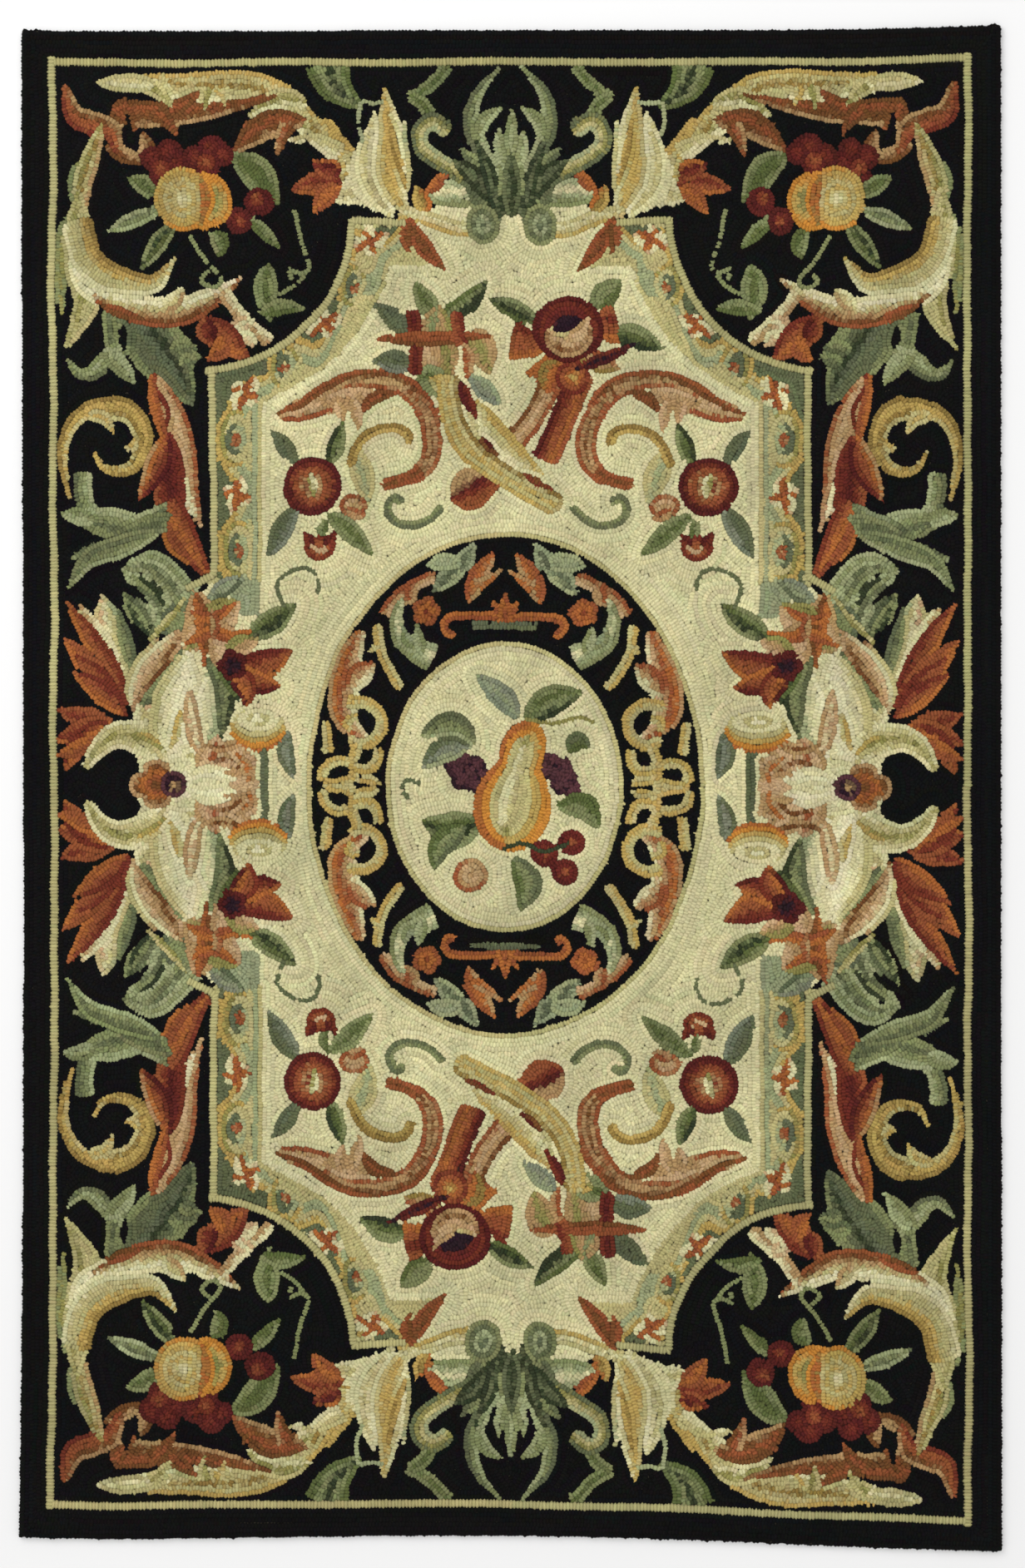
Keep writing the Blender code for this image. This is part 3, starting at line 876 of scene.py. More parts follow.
class Solid:
    """The rug's solid, measured by rays: its four bowed edges and the height of its top."""

    ROUNDED = 2.0  # the outline's corners, in millimetres
    PROBE_HEIGHT = 2 * MM  # where the edges are measured
    PROBES = 61  # along each edge
    CLEAR_OF_CORNERS = 25  # in millimetres
    CURVE_ORDER = 4

    def __init__(self):
        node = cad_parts[RUG_NODE]
        self.tree = BVHTree.FromObject(node, bpy.context.evaluated_depsgraph_get())
        reach = np.linspace(-1.0, 1.0, self.PROBES)
        ups, outs = (reach * (half - self.CLEAR_OF_CORNERS) for half in (HALF_LENGTH, HALF_WIDTH))
        self.edges = {
            "left": self.fit(ups, lambda y: ((-1, y * MM), (1, 0)), 0),
            "right": self.fit(ups, lambda y: ((1, y * MM), (-1, 0)), 0),
            "bottom": self.fit(outs, lambda x: ((x * MM, -2), (0, 1)), 1),
            "top": self.fit(outs, lambda x: ((x * MM, 2), (0, -1)), 1),
        }

    def fit(self, stations, ray, axis):
        """A smooth curve through where rays from the stations meet the edge, measured along the axis."""
        met = []
        for station in stations:
            start, way = ray(station)
            hit = self.tree.ray_cast(Vector((*start, self.PROBE_HEIGHT)), Vector((*way, 0.0)))[0]
            met.append(hit[axis] / MM)
        return np.polynomial.Polynomial.fit(stations, met, self.CURVE_ORDER)

    def depths(self, x, y):
        """How far inside each of the four edges points lie."""
        return (
            x - self.edges["left"](y), self.edges["right"](y) - x,
            y - self.edges["bottom"](x), self.edges["top"](x) - y,
        )

    def depth(self, x, y):
        """How far inside the rounded outline points lie."""
        left, right, bottom, top = self.depths(x, y)
        side, end = np.minimum(left, right), np.minimum(bottom, top)
        short = [np.maximum(self.ROUNDED - inside, 0) for inside in (side, end)]
        corner = self.ROUNDED - np.hypot(*short)
        return np.where((side < self.ROUNDED) & (end < self.ROUNDED), corner, np.minimum(side, end))

    def shares(self, x, y):
        """How far across and along the rug points lie, from 0 to 1."""
        left, right, bottom, top = self.depths(x, y)
        return left / (left + right), bottom / (bottom + top)

    def height(self, x, y):
        """Where a ray from above meets the solid's top at a point, in metres, or None beside it."""
        return self.tree.ray_cast(Vector((x * MM, y * MM, 0.1)), Vector((0, 0, -1)))[0]


def slow_waves(seed, size, lengths):
    """A smooth, seeded unevenness over the rug, up to about the given size."""
    draw = np.random.default_rng(seed)
    waves = []
    for length in lengths:
        way, shift = draw.uniform(0, math.tau), draw.uniform(0, math.tau)
        waves.append((math.tau / length, way, shift, size * draw.uniform(0.2, 0.5)))

    def height(x, y):
        return sum(
            part * np.sin(rate * (x * math.cos(way) + y * math.sin(way)) + shift)
            for rate, way, shift, part in waves
        )

    return height


class Ground:
    """The charts laid over the rug's own outline, on a grid of whole millimetres."""

    def __init__(self, solid):
        self.solid = solid
        self.wander = [slow_waves(seed, WANDER, WANDER_LENGTHS) for seed in (11, 12)]
        self.quarter, self.group, self.middle = quarter_chart(), group_chart(), centre_chart()
        self.left, self.low = -HALF_WIDTH - MARGIN, -HALF_LENGTH - MARGIN
        x = np.arange(self.left, -self.left) + 0.5
        y = np.arange(self.low, -self.low) + 0.5
        x, y = np.meshgrid(x, y)
        self.inside = solid.depth(x, y) > 0
        out, up = self.design(x, y)
        self.shapes = np.zeros(x.shape, np.int32)
        self.yarns = np.zeros(x.shape, np.uint8)
        self.zones = np.zeros(x.shape, np.uint8)
        self.lay(self.quarter, np.abs(out), np.abs(up), 0)
        self.lay(self.group, out, up, GROUP_FIRST)
        self.lay(self.group, -out, -up, GROUP_FIRST)
        self.lay(self.middle, out, up, CENTRE_FIRST)
        for chart in (self.shapes, self.yarns, self.zones):
            chart[~self.inside] = 0
        self.measure()

    def design(self, x, y):
        """Where points of the rug lie in the design, which wanders, leans and slips a little on it."""
        across, along = self.solid.shares(x, y)
        out = (across - 0.5) * 2 * HALF_WIDTH
        up = (along - 0.5) * 2 * HALF_LENGTH
        reach = ellipse(out, up, *RING_OUTER)
        narrowed, whole_from = NARROW_LEFT
        left = narrowed * np.clip(-out / whole_from, 0, 1)
        down = self.wander[1](x, y) + LOW_SLANT * out * np.clip(-up / HALF_LENGTH, 0, 1)
        for slip_left, slip_down, whole, gone in RING_SLIPS:
            share = np.clip((gone - reach) / (gone - whole), 0, 1)
            left = left + slip_left * share
            down = down + slip_down * share
        return out + left + self.wander[0](x, y), up + down

    def rug(self, points):
        """Where points of the design lie on the rug."""
        points = np.asarray(points, float)
        found = points.copy()
        for _ in range(4):
            out, up = self.design(found[:, 0], found[:, 1])
            found += points - np.column_stack((out, up))
        return found

    def lay(self, chart, out, up, first):
        """Takes over a chart's shapes, numbered from the first number, where it has any."""
        rows, columns = chart.shapes.shape
        r, c = np.floor(up - chart.low).astype(int), np.floor(out - chart.left).astype(int)
        within = (r >= 0) & (r < rows) & (c >= 0) & (c < columns)
        r, c = r.clip(0, rows - 1), c.clip(0, columns - 1)
        drawn = within & (chart.shapes[r, c] > 0)
        self.shapes[drawn] = chart.shapes[r, c][drawn] + first
        self.yarns[drawn] = chart.yarns[r, c][drawn]
        self.zones[drawn] = chart.zones[r, c][drawn]

    def measure(self):
        """How deep each square lies inside its shape, and which way the rows run there."""
        edge = np.zeros(self.shapes.shape, bool)
        beside = self.shapes[:, 1:] != self.shapes[:, :-1]
        above = self.shapes[1:] != self.shapes[:-1]
        edge[:, 1:] |= beside
        edge[:, :-1] |= beside
        edge[1:] |= above
        edge[:-1] |= above
        upward = np.where(edge, 0, DEEPEST).astype(np.int32)
        for row in range(1, len(upward)):
            np.minimum(upward[row], upward[row - 1] + 1, out=upward[row])
        for row in range(len(upward) - 2, -1, -1):
            np.minimum(upward[row], upward[row + 1] + 1, out=upward[row])
        straight = upward**2
        nearest = straight.copy()
        for step in range(1, DEEPEST):
            np.minimum(nearest[:, step:], straight[:, :-step] + step * step, out=nearest[:, step:])
            np.minimum(nearest[:, :-step], straight[:, step:] + step * step, out=nearest[:, :-step])
        self.depth = np.sqrt(nearest).astype(np.float32) + 0.5

        slope_y, slope_x = np.gradient(box_mean(self.depth, 1))
        self.slope_x, self.slope_y = slope_x.astype(np.float32), slope_y.astype(np.float32)
        # rows run square to the slope, whichever side it falls to
        double = box_mean(slope_x * slope_x - slope_y * slope_y, 2)
        cross = box_mean(2 * slope_x * slope_y, 2)
        self.heading = (0.5 * np.arctan2(cross, double) + math.pi / 2).astype(np.float32)


def box_mean(values, reach):
    """Each square's mean with its neighbours, up to the reach on all four sides."""
    for axis in (0, 1):
        first = np.repeat(values.take([0], axis), reach + 1, axis)
        last = np.repeat(values.take([-1], axis), reach, axis)
        padded = np.concatenate((first, values, last), axis)
        total = np.cumsum(padded, axis, dtype=np.float64)
        size = 2 * reach + 1
        after = total.take(range(size, total.shape[axis]), axis)
        before = total.take(range(0, total.shape[axis] - size), axis)
        values = ((after - before) / size).astype(np.float32)
    return values


# ------------------------------------------------------------------------------------------ hooking

TURNS = 24  # directions that a loop's footprint is worked out for, in half a turn
SPARE = 2  # a loop goes in where at most this many of its nine test points are taken
STRAY = 2.6  # a loop's second and third yarns are charted about this far to any side of it, in squares
STRAYS = 4099  # how many steps aside are drawn, to be used in turn
COVERED = (1.7, 2.3)  # half of what a loop covers along its row and across it, in squares
COVER_STEPS = (1.0, 0.92)  # between the points that mark it as taken
TESTED = (1.3, 1.9)  # half of what is tested for room along and across
NEAR_ROW = 0.55  # a row starts where the depth is within this of its own
FLAT = 0.1  # a row keeps its course where the square of the slope is less
PUSH = 1.2  # the most that a row is pushed sideways at once to keep its depth
SHARPEST_TURN = 1.3  # a row ends rather than turn more, in radians
TURN_TAKEN = 0.85  # the share of a turn that one loop takes
YARN_SHARES = (0.36, 0.32, 0.32)  # how much of a loop's colour comes from each of its three yarns


class Hooking:
    """Puts loops on the ground, row by row, and keeps count of the squares they cover."""

    def __init__(self, ground, row, stitch):
        self.ground, self.row, self.stitch = ground, row, stitch
        rows, self.columns = ground.shapes.shape
        self.taken = bytearray(rows * self.columns)
        self.taken_now = np.frombuffer(self.taken, np.uint8).reshape(ground.shapes.shape)
        self.shapes = memoryview(np.ascontiguousarray(ground.shapes).ravel())
        self.yarns = memoryview(np.ascontiguousarray(ground.yarns).ravel())
        self.zones = memoryview(np.ascontiguousarray(ground.zones).ravel())
        self.depth = memoryview(ground.depth.ravel())
        self.heading = memoryview(ground.heading.ravel())
        self.slope_x = memoryview(ground.slope_x.ravel())
        self.slope_y = memoryview(ground.slope_y.ravel())
        self.loops = []
        self.strand = 0
        strays = np.random.default_rng(3).normal(0, STRAY, (STRAYS, 2)).round().astype(int)
        self.strays = [down * self.columns + across for down, across in strays.tolist()]
        self.footprints = [self.footprint(turn, COVERED, COVER_STEPS) for turn in range(TURNS)]
        self.tests = [self.footprint(turn, TESTED, TESTED) for turn in range(TURNS)]

    def footprint(self, turn, halves, steps):
        """The squares under a loop that points one of the directions, as steps from its own square."""
        angle = math.pi * turn / TURNS
        cosine, sine = math.cos(angle), math.sin(angle)
        alongs, acrosses = (np.arange(-half, half + 0.01, step) for half, step in zip(halves, steps))
        found = {
            round(s * sine + t * cosine) * self.columns + round(s * cosine - t * sine)
            for s in alongs for t in acrosses
        }
        return tuple(found)

    def place(self, x, y):
        return int(y - self.ground.low) * self.columns + int(x - self.ground.left)

    def turned(self, prints, angle):
        return prints[int(angle / math.pi * TURNS + 0.5) % TURNS]

    def crowding(self, place, angle):
        """How many of a loop's test points are taken."""
        taken = self.taken
        return sum(taken[place + step] for step in self.turned(self.tests, angle))

    def stray_yarn(self, place, pick):
        """A yarn charted a little to one side of a square in the same shape, or the square's own."""
        beside = place + self.strays[(2 * len(self.loops) + pick) % STRAYS]
        return self.yarns[beside if self.shapes[beside] == self.shapes[place] else place]

    def take(self, x, y, angle):
        """Marks the squares under a loop as taken."""
        place, taken = self.place(x, y), self.taken
        for step in self.turned(self.footprints, angle):
            taken[place + step] = 1

    def put(self, x, y, angle, zone, sunk=0.0, breadth=1.0, yarn=None):
        """Hooks a loop, in one yarn or in the three that are charted round it."""
        place = self.place(x, y)
        self.take(x, y, angle)
        if yarn is None:
            yarns = (self.yarns[place], self.stray_yarn(place, 0), self.stray_yarn(place, 1))
        else:
            yarns = (yarn,) * 3
        self.loops.append((x, y, angle, zone, self.strand, sunk, breadth, *yarns))

    def follow(self, x, y, angle, target):
        """Hooks on from a loop along its row, at the target depth, until the row ends or meets another."""
        shape = self.shapes[self.place(x, y)]
        while True:
            x += self.stitch * math.cos(angle)
            y += self.stitch * math.sin(angle)
            place = self.place(x, y)
            if self.shapes[place] != shape:
                return
            for _ in range(2):
                sx, sy = self.slope_x[place], self.slope_y[place]
                steep = sx * sx + sy * sy
                if steep < FLAT:
                    break
                push = (target - self.depth[place]) / steep
                push = min(max(push, -PUSH), PUSH)
                x += push * sx
                y += push * sy
                place = self.place(x, y)
            if self.shapes[place] != shape:
                return
            heading = self.heading[place]
            turn = (heading - angle + math.pi / 2) % math.pi - math.pi / 2
            if abs(turn) > SHARPEST_TURN or self.crowding(place, angle + turn * 0.5) > SPARE:
                return
            angle += turn * TURN_TAKEN
            self.put(x, y, angle, self.zones[place])

    def rows_along_outlines(self):
        """Hooks the rows nearest the outlines first, then those inside them."""
        ground = self.ground
        depth = ground.depth
        for row in range(int(DEEPEST / self.row)):
            target = (row + 0.5) * self.row
            near = (np.abs(depth - target) < NEAR_ROW) & (ground.shapes > 0) & (self.taken_now == 0)
            for r, c in np.argwhere(near):
                place = int(r) * self.columns + int(c)
                if self.taken[place]:
                    continue
                angle = self.heading[place]
                if self.crowding(place, angle) > SPARE - 1:
                    continue
                x, y = c + ground.left + 0.5, r + ground.low + 0.5
                self.strand += 1
                self.put(x, y, angle, self.zones[place])
                self.follow(x, y, angle, target)
                self.follow(x, y, angle + math.pi, target)

    def lines(self):
        """Hooks the lines that run as whole rows, such as the guard line and the tendrils."""
        ground = self.ground
        views = (
            # chart, then how the chart is turned over out and up
            *((ground.quarter, out, up) for out in (1, -1) for up in (1, -1)),
            (ground.group, 1, 1), (ground.group, -1, -1), (ground.middle, 1, 1),
        )
        for chart, out, up in views:
            for line, yarn, zone, breadth, sunk in chart.lines:
                track, direction, _ = even_line(ground.rug(line * (out, up)), self.stitch)
                self.strand += 1
                for (x, y), (dx, dy) in zip(track, direction):
                    angle = math.atan2(dy, dx)
                    if breadth == 1 and self.crowding(self.place(x, y), angle) > SPARE:
                        continue
                    self.put(x, y, angle, ZONE_NUMBERS[zone], sunk, breadth, number(yarn))
                    if breadth > 1:
                        for side in (-self.row / 2, self.row / 2):
                            self.take(x - dy * side, y + dx * side, angle)

    def gaps(self):
        """Puts single loops where rows that meet have left a gap."""
        ground = self.ground
        passes = (
            # free share of the 3 by 3 squares round it, how many test points may be taken, how low it is
            (0.85, 1, 0.0), (0.85, 3, 0.0), (0.85, 4, 0.2), (0.99, 9, 0.4), (0.75, 9, 0.6), (0.5, 9, 0.9),
        )
        for share, limit, sunk in passes:
            free = (self.taken_now == 0) & (ground.shapes > 0)
            open_around = box_mean(free.astype(np.float32), 1)
            for r, c in np.argwhere(open_around > share):
                place = int(r) * self.columns + int(c)
                angle = self.heading[place]
                beside_line = self.zones[place] == ZONE_NUMBERS["guard_line"]
                if beside_line or self.taken[place] or self.crowding(place, angle) > limit:
                    continue
                self.strand += 1
                x, y = c + ground.left + 0.5, r + ground.low + 0.5
                self.put(x, y, angle, self.zones[place], sunk)

    def all_loops(self):
        """Every loop's place in millimetres, direction, zone, strand, how low it is and its yarns."""
        self.lines()
        self.rows_along_outlines()
        self.gaps()
        return np.array(self.loops)


# ---------------------------------------------------------------------------------- loops as meshes

LOOP_HALF_LENGTH = 2.8  # half a loop's size along its row, in millimetres
LOOP_HALF_WIDTH = 3.9  # half its size across the row
RIDGE_SHARE = 0.45  # half the crown's length, as a share of the half width

LOOP_POINTS = (
    # along, across and up, as shares of the half length, the half width and the height
    (1.0, -0.5, 0.0), (1.0, 0.5, 0.0), (0.0, 1.0, 0.0),
    (-1.0, 0.5, 0.0), (-1.0, -0.5, 0.0), (0.0, -1.0, 0.0),
    (0.0, -RIDGE_SHARE, 1.0), (0.0, RIDGE_SHARE, 1.0),
)
LOOP_FACES = (
    (0, 1, 7), (0, 7, 6), (1, 2, 7), (2, 3, 7), (3, 4, 6), (3, 6, 7), (4, 5, 6), (5, 0, 6),
)

# Painted light on each loop's colour: its foot is darkened as painted shade between the loops, less so for
# pale yarns as painted bounced light, and its crown is lifted as a painted highlight.
PAINTED_SHADE_AT_FOOT = 0.36
PAINTED_BOUNCE_AT_FOOT = 0.35  # how much lighter the foot of a white loop would be than the foot of a black one
PAINTED_HIGHLIGHT_AT_CROWN = 1.08
SHADE_BETWEEN_LOOPS = 0.05  # loops of one strand differ by up to this
SHADE_BETWEEN_STRANDS = 0.06
TINT = 0.014  # how much a strand's red, green and blue each differ from its dye
TINT_IN_BLACK = 0.0006  # and how much of each every yarn has besides

BLACK_IS_LOWER = 0.3  # the black loops stand this much lower, in millimetres
WIDER_WHEN_SUNK = 0.15  # loops put low into gaps spread by this share for each millimetre

RIM_INSET = 1.9  # the tilted loops round the rim lie this far inside the outline
RIM_LEAN = math.radians(35)
RIM_DROP = 0.6
RIM_RAYS = 2880  # from the middle of the rug to its rim
RAY_SPAN = (300.0, 1100.0)  # the rim lies between these, in millimetres
HALVINGS = 24

PLACE_STRAY = 0.16  # how far the loops stray from their places, in millimetres
TURN_STRAY = 0.07  # and from their directions, in radians
LEAN_STRAY = 0.07  # and from upright
SIZE_STRAY = 0.05  # how much their sizes differ
SIZE_LIMITS = (0.88, 1.12)
LEVEL_STRAY = 0.4  # they stand up to this much lower, in millimetres
LOOP_TINT_SHARE = 0.7  # a loop's own tint, as a share of its strand's
DYE_LENGTHS = (47, 73, 111, 190, 333)  # the waves that the dye changes in, in millimetres
BESIDE_TOP = 5 * MM  # the level taken for loops beside the solid


def linear(colour):
    """An sRGB colour from 0 to 255 as linear light."""
    share = np.asarray(colour, float) / 255
    return np.where(share <= 0.04045, share / 12.92, ((share + 0.055) / 1.055) ** 2.4)


def rim_loops(ground, stitch):
    """Loops that lean out over the rug's rim, so that its side is pile and not cloth."""
    solid = ground.solid
    turn = np.linspace(0, math.tau, RIM_RAYS, endpoint=False)
    way = np.column_stack((np.cos(turn), np.sin(turn)))
    # bisect along rays from the middle for the line that lies the inset inside the outline
    near, far = (np.full(len(turn), end) for end in RAY_SPAN)
    for _ in range(HALVINGS):
        middle = (near + far) / 2
        deep = solid.depth(middle * way[:, 0], middle * way[:, 1]) > RIM_INSET
        near, far = np.where(deep, middle, near), np.where(deep, far, middle)
    outline = way * near[:, None]
    track, direction, _ = even_line(np.vstack((outline, outline[:1])), stitch)
    angle = np.arctan2(direction[:, 1], direction[:, 0])
    plain = (ZONE_NUMBERS["border"], 0, RIM_DROP, 1.0, *(number("black"),) * 3)
    return np.column_stack((track, angle, np.tile(plain, (len(track), 1))))[:-1]


def crowns(solid, x, y):
    """The height of the solid's top at points, in metres."""
    found = [solid.height(a, b) for a, b in zip(x.tolist(), y.tolist())]
    return np.array([hit.z if hit else BESIDE_TOP for hit in found])


class Pile:
    """Every loop of the rug as a small mound of yarn, ready to be split into the zones' meshes."""

    def __init__(self, ground, loops, settings, yarn_colours):
        draw = np.random.default_rng(5)
        rim = rim_loops(ground, settings.stitch / MM)
        leaning = np.arange(len(loops) + len(rim)) >= len(loops)
        loops = np.vstack((loops, rim))
        count = len(loops)
        x, y, angle = loops[:, 0], loops[:, 1], loops[:, 2]
        self.zones = loops[:, 3].astype(int)
        strand = loops[:, 4].astype(int)
        stray = np.where(leaning, 0.0, PLACE_STRAY)
        x = x + draw.normal(0, 1, count) * stray
        y = y + draw.normal(0, 1, count) * stray
        angle = angle + draw.normal(0, TURN_STRAY, count)
        size = draw.normal(1, SIZE_STRAY, (count, 2)).clip(*SIZE_LIMITS)
        black = loops[:, 7] == number("black")
        sunk = draw.uniform(0, LEVEL_STRAY, count) + loops[:, 5] + BLACK_IS_LOWER * black
        top = crowns(ground.solid, x, y) - sunk * MM
        size *= 1 + WIDER_WHEN_SUNK * loops[:, 5:6]
        size[:, 1] *= loops[:, 6]

        shape = np.array(LOOP_POINTS)
        along = shape[None, :, 0] * LOOP_HALF_LENGTH * size[:, :1]
        across = shape[None, :, 1] * LOOP_HALF_WIDTH * size[:, 1:]
        up = (shape[None, :, 2] - 1) * settings.loop_height / MM
        # the rim's outline runs anticlockwise, so its outward side is to the right of each loop
        lean = np.where(leaning, RIM_LEAN, draw.normal(0, LEAN_STRAY, count))[:, None]
        cosine, sine = np.cos(lean), np.sin(lean)
        across, up = across * cosine - up * sine, across * sine + up * cosine
        cosine, sine = np.cos(angle)[:, None], np.sin(angle)[:, None]
        self.points = np.empty((count, len(shape), 3))
        self.points[:, :, 0] = (x[:, None] + along * cosine - across * sine) * MM
        self.points[:, :, 1] = (y[:, None] + along * sine + across * cosine) * MM
        self.points[:, :, 2] = top[:, None] + up * MM

        strand_shade = draw.normal(1, SHADE_BETWEEN_STRANDS, strand.max() + 1)
        dye_and_painted_shade = slow_waves(31, 1.0, DYE_LENGTHS)
        shade = draw.normal(1, SHADE_BETWEEN_LOOPS, count) * strand_shade[strand]
        shade = shade * (1 + settings.dye_change * dye_and_painted_shade(x, y))
        colours = np.tensordot(YARN_SHARES, yarn_colours[loops[:, 7:].astype(int).T], 1)
        # painted shade at each loop's foot, rising to a painted highlight at its crown
        foot = PAINTED_SHADE_AT_FOOT + PAINTED_BOUNCE_AT_FOOT * colours.mean(1)[:, None]
        painted_light_levels = foot + (PAINTED_HIGHLIGHT_AT_CROWN - foot) * shape[None, :, 2]
        tints = draw.normal(0, 1, (strand.max() + 1, 3))[strand]
        tints = tints + draw.normal(0, LOOP_TINT_SHARE, (count, 3))
        colours = colours * (1 + TINT * tints) * shade[:, None] + TINT_IN_BLACK * (1 + tints)
        self.colours = np.ones((count, len(shape), 4))
        self.colours[:, :, :3] = (colours[:, None, :] * painted_light_levels[:, :, None]).clip(0, 1)
        self.twist = np.empty((count, len(shape), 3))
        self.twist[:, :, 0] = shape[None, :, 0] * LOOP_HALF_LENGTH
        self.twist[:, :, 1] = shape[None, :, 1] * LOOP_HALF_WIDTH
        self.twist[:, :, 2] = draw.uniform(0, 1, count)[:, None]

    def piece(self, zone, material):
        """One zone's loops as one object."""
        chosen = self.zones == ZONE_NUMBERS[zone]
        points = self.points[chosen].reshape(-1, 3)
        count = int(chosen.sum())
        each = len(LOOP_POINTS)
        faces = (np.arange(count)[:, None, None] * each + np.array(LOOP_FACES)[None]).reshape(-1, 3)
        mesh = mesh_of_triangles("loops_" + zone, points, faces)
        # each point's colour: its yarn with the painted shade at the loop's foot and the painted highlight
        # at its crown
        mesh.attributes.new("yarn_colour", "FLOAT_COLOR", "POINT").data.foreach_set(
            "color", self.colours[chosen].ravel().astype(np.float32))
        mesh.attributes.new("twist", "FLOAT_VECTOR", "POINT").data.foreach_set(
            "vector", self.twist[chosen].ravel().astype(np.float32))
        mesh.materials.append(material)
        return add_piece(mesh)


def mesh_of_triangles(name, points, faces):
    """A smooth mesh of triangles, with a flat map from above that pictures can be baked through."""
    mesh = bpy.data.meshes.new(name)
    mesh.vertices.add(len(points))
    mesh.vertices.foreach_set("co", points.ravel().astype(np.float32))
    mesh.loops.add(faces.size)
    mesh.loops.foreach_set("vertex_index", faces.ravel().astype(np.int32))
    mesh.polygons.add(len(faces))
    mesh.polygons.foreach_set("loop_start", np.arange(0, faces.size, 3, dtype=np.int32))
    mesh.polygons.foreach_set("use_smooth", np.ones(len(faces), bool))
    mesh.update(calc_edges=True)
    low, high = points.min(0)[:2], points.max(0)[:2]
    flat = (points[:, :2] - low) / (high - low)
    mesh.uv_layers.new(name="OFBake").data.foreach_set("uv", flat[faces.ravel()].ravel().astype(np.float32))
    return mesh


def add_piece(mesh):
    """A mesh as a piece of the rug, carried by the rug's own frame."""
    piece = bpy.data.objects.new(mesh.name, mesh)
    bpy.context.scene.collection.objects.link(piece)
    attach(piece, BODY)
    return piece


# ------------------------------------------------------------------------------------- the cloth

CLOTH_CELLS = (48, 72)  # across and along
CLOTH_PROBE = 0.99  # the solid's top is measured this share of the way out, clear of its rounded rim
CLOTH_RIM = (
    # how far inside the rug's outline, and how high, each ring of the cloth's turned edge is
    (1.6, 0.0), (0.5, 0.5), (0.0, 1.6), (0.0, 4.6), (0.5, 5.8), (1.8, 5.9),
)


def cloth_mesh(solid, below_pile):
    """The foundation cloth: a thin slab under the loops, its turned edge rounded."""
    across, along = CLOTH_CELLS
    ring_shares = rim_shares(across, along)

    def place(share_across, share_along, inset):
        """A point at its shares of the rug's outline, drawn in by the inset."""
        x, y = (share_across - 0.5) * 2 * HALF_WIDTH, (share_along - 0.5) * 2 * HALF_LENGTH
        for _ in range(5):
            left, right, bottom, top = solid.depths(x, y)
            x += share_across * (left + right) - left
            y += share_along * (bottom + top) - bottom
        return x + inset * (1 - 2 * share_across), y + inset * (1 - 2 * share_along)

    bm = bmesh.new()
    grids = []
    for inset, level in ((CLOTH_RIM[-1][0], None), (CLOTH_RIM[0][0], 0.0)):
        grid = []
        for i in range(across + 1):
            column = []
            for j in range(along + 1):
                x, y = place(i / across, j / along, inset)
                z = level
                if level is None:
                    z = solid.height(x * CLOTH_PROBE, y * CLOTH_PROBE).z - below_pile * MM
                column.append(bm.verts.new((x * MM, y * MM, z)))
            grid.append(column)
        grids.append(grid)
    top, bottom = grids
    for i in range(across):
        for j in range(along):
            square = ((i, j), (i + 1, j), (i + 1, j + 1), (i, j + 1))
            bm.faces.new([top[a][b] for a, b in square]).material_index = 0
            bm.faces.new([bottom[a][b] for a, b in square[:1] + square[:0:-1]]).material_index = 1
    rings = [[bottom[i][j] for i, j in ring_shares]]
    for inset, level in CLOTH_RIM[1:-1]:
        spots = [place(i / across, j / along, inset) for i, j in ring_shares]
        rings.append([bm.verts.new((x * MM, y * MM, level * MM)) for x, y in spots])
    rings.append([top[i][j] for i, j in ring_shares])
    for lower, upper in zip(rings, rings[1:]):
        for a, b, c, d in zip(lower, lower[1:] + lower[:1], upper[1:] + upper[:1], upper):
            bm.faces.new((a, b, c, d)).material_index = 0
    bmesh.ops.triangulate(bm, faces=bm.faces[:])
    bmesh.ops.recalc_face_normals(bm, faces=bm.faces[:])
    mesh = bpy.data.meshes.new("foundation_cloth")
    bm.to_mesh(mesh)
    bm.free()
    mesh.polygons.foreach_set("use_smooth", np.ones(len(mesh.polygons), bool))
    return mesh


def rim_shares(across, along):
    """The grid's outer points in order, anticlockwise from the bottom left corner."""
    ring = [(i, 0) for i in range(across)]
    ring += [(across, j) for j in range(along)]
    ring += [(i, along) for i in range(across, 0, -1)]
    return ring + [(0, j) for j in range(along, 0, -1)]


# -------------------------------------------------------------------------------------- materials


class Value:
    """A socket of a material's nodes, so that shading can be written as sums."""

    def __init__(self, tree, socket):
        self.tree, self.socket = tree, socket

    @staticmethod
    def made(tree, kind, settings, inputs):
        """The outputs of a new node, once its settings are set and its inputs fed or set."""
        node = tree.nodes.new("ShaderNode" + kind)
        for name, setting in settings.items():
            setattr(node, name, setting)
        for name, value in inputs.items():
            feed(tree, node.inputs[name], value)
        return [Value(tree, output) for output in node.outputs]

    def maths(self, operation, *numbers):
        return Value.made(self.tree, "Math", {"operation": operation}, dict(enumerate(numbers)))[0]

    def __add__(self, other):
        return self.maths("ADD", self, other)

    def __mul__(self, other):
        return self.maths("MULTIPLY", self, other)

    __radd__ = __add__

    def sine(self):
        return self.maths("SINE", self)

    def at_most(self, other):
        return self.maths("MINIMUM", self, other)

    def parts(self):
        """The three numbers of a vector."""
        return Value.made(self.tree, "SeparateXYZ", {}, {0: self})

    def shade(self, colour):
        """A colour scaled by this number."""
        return Value.made(self.tree, "VectorMath", {"operation": "SCALE"}, {0: colour, "Scale": self})[0]

    def between(self, low, high):
        """A mix of two colours by this number."""
        return Value.made(self.tree, "Mix", {"data_type": "RGBA"}, {0: self, 6: low, 7: high})[2]


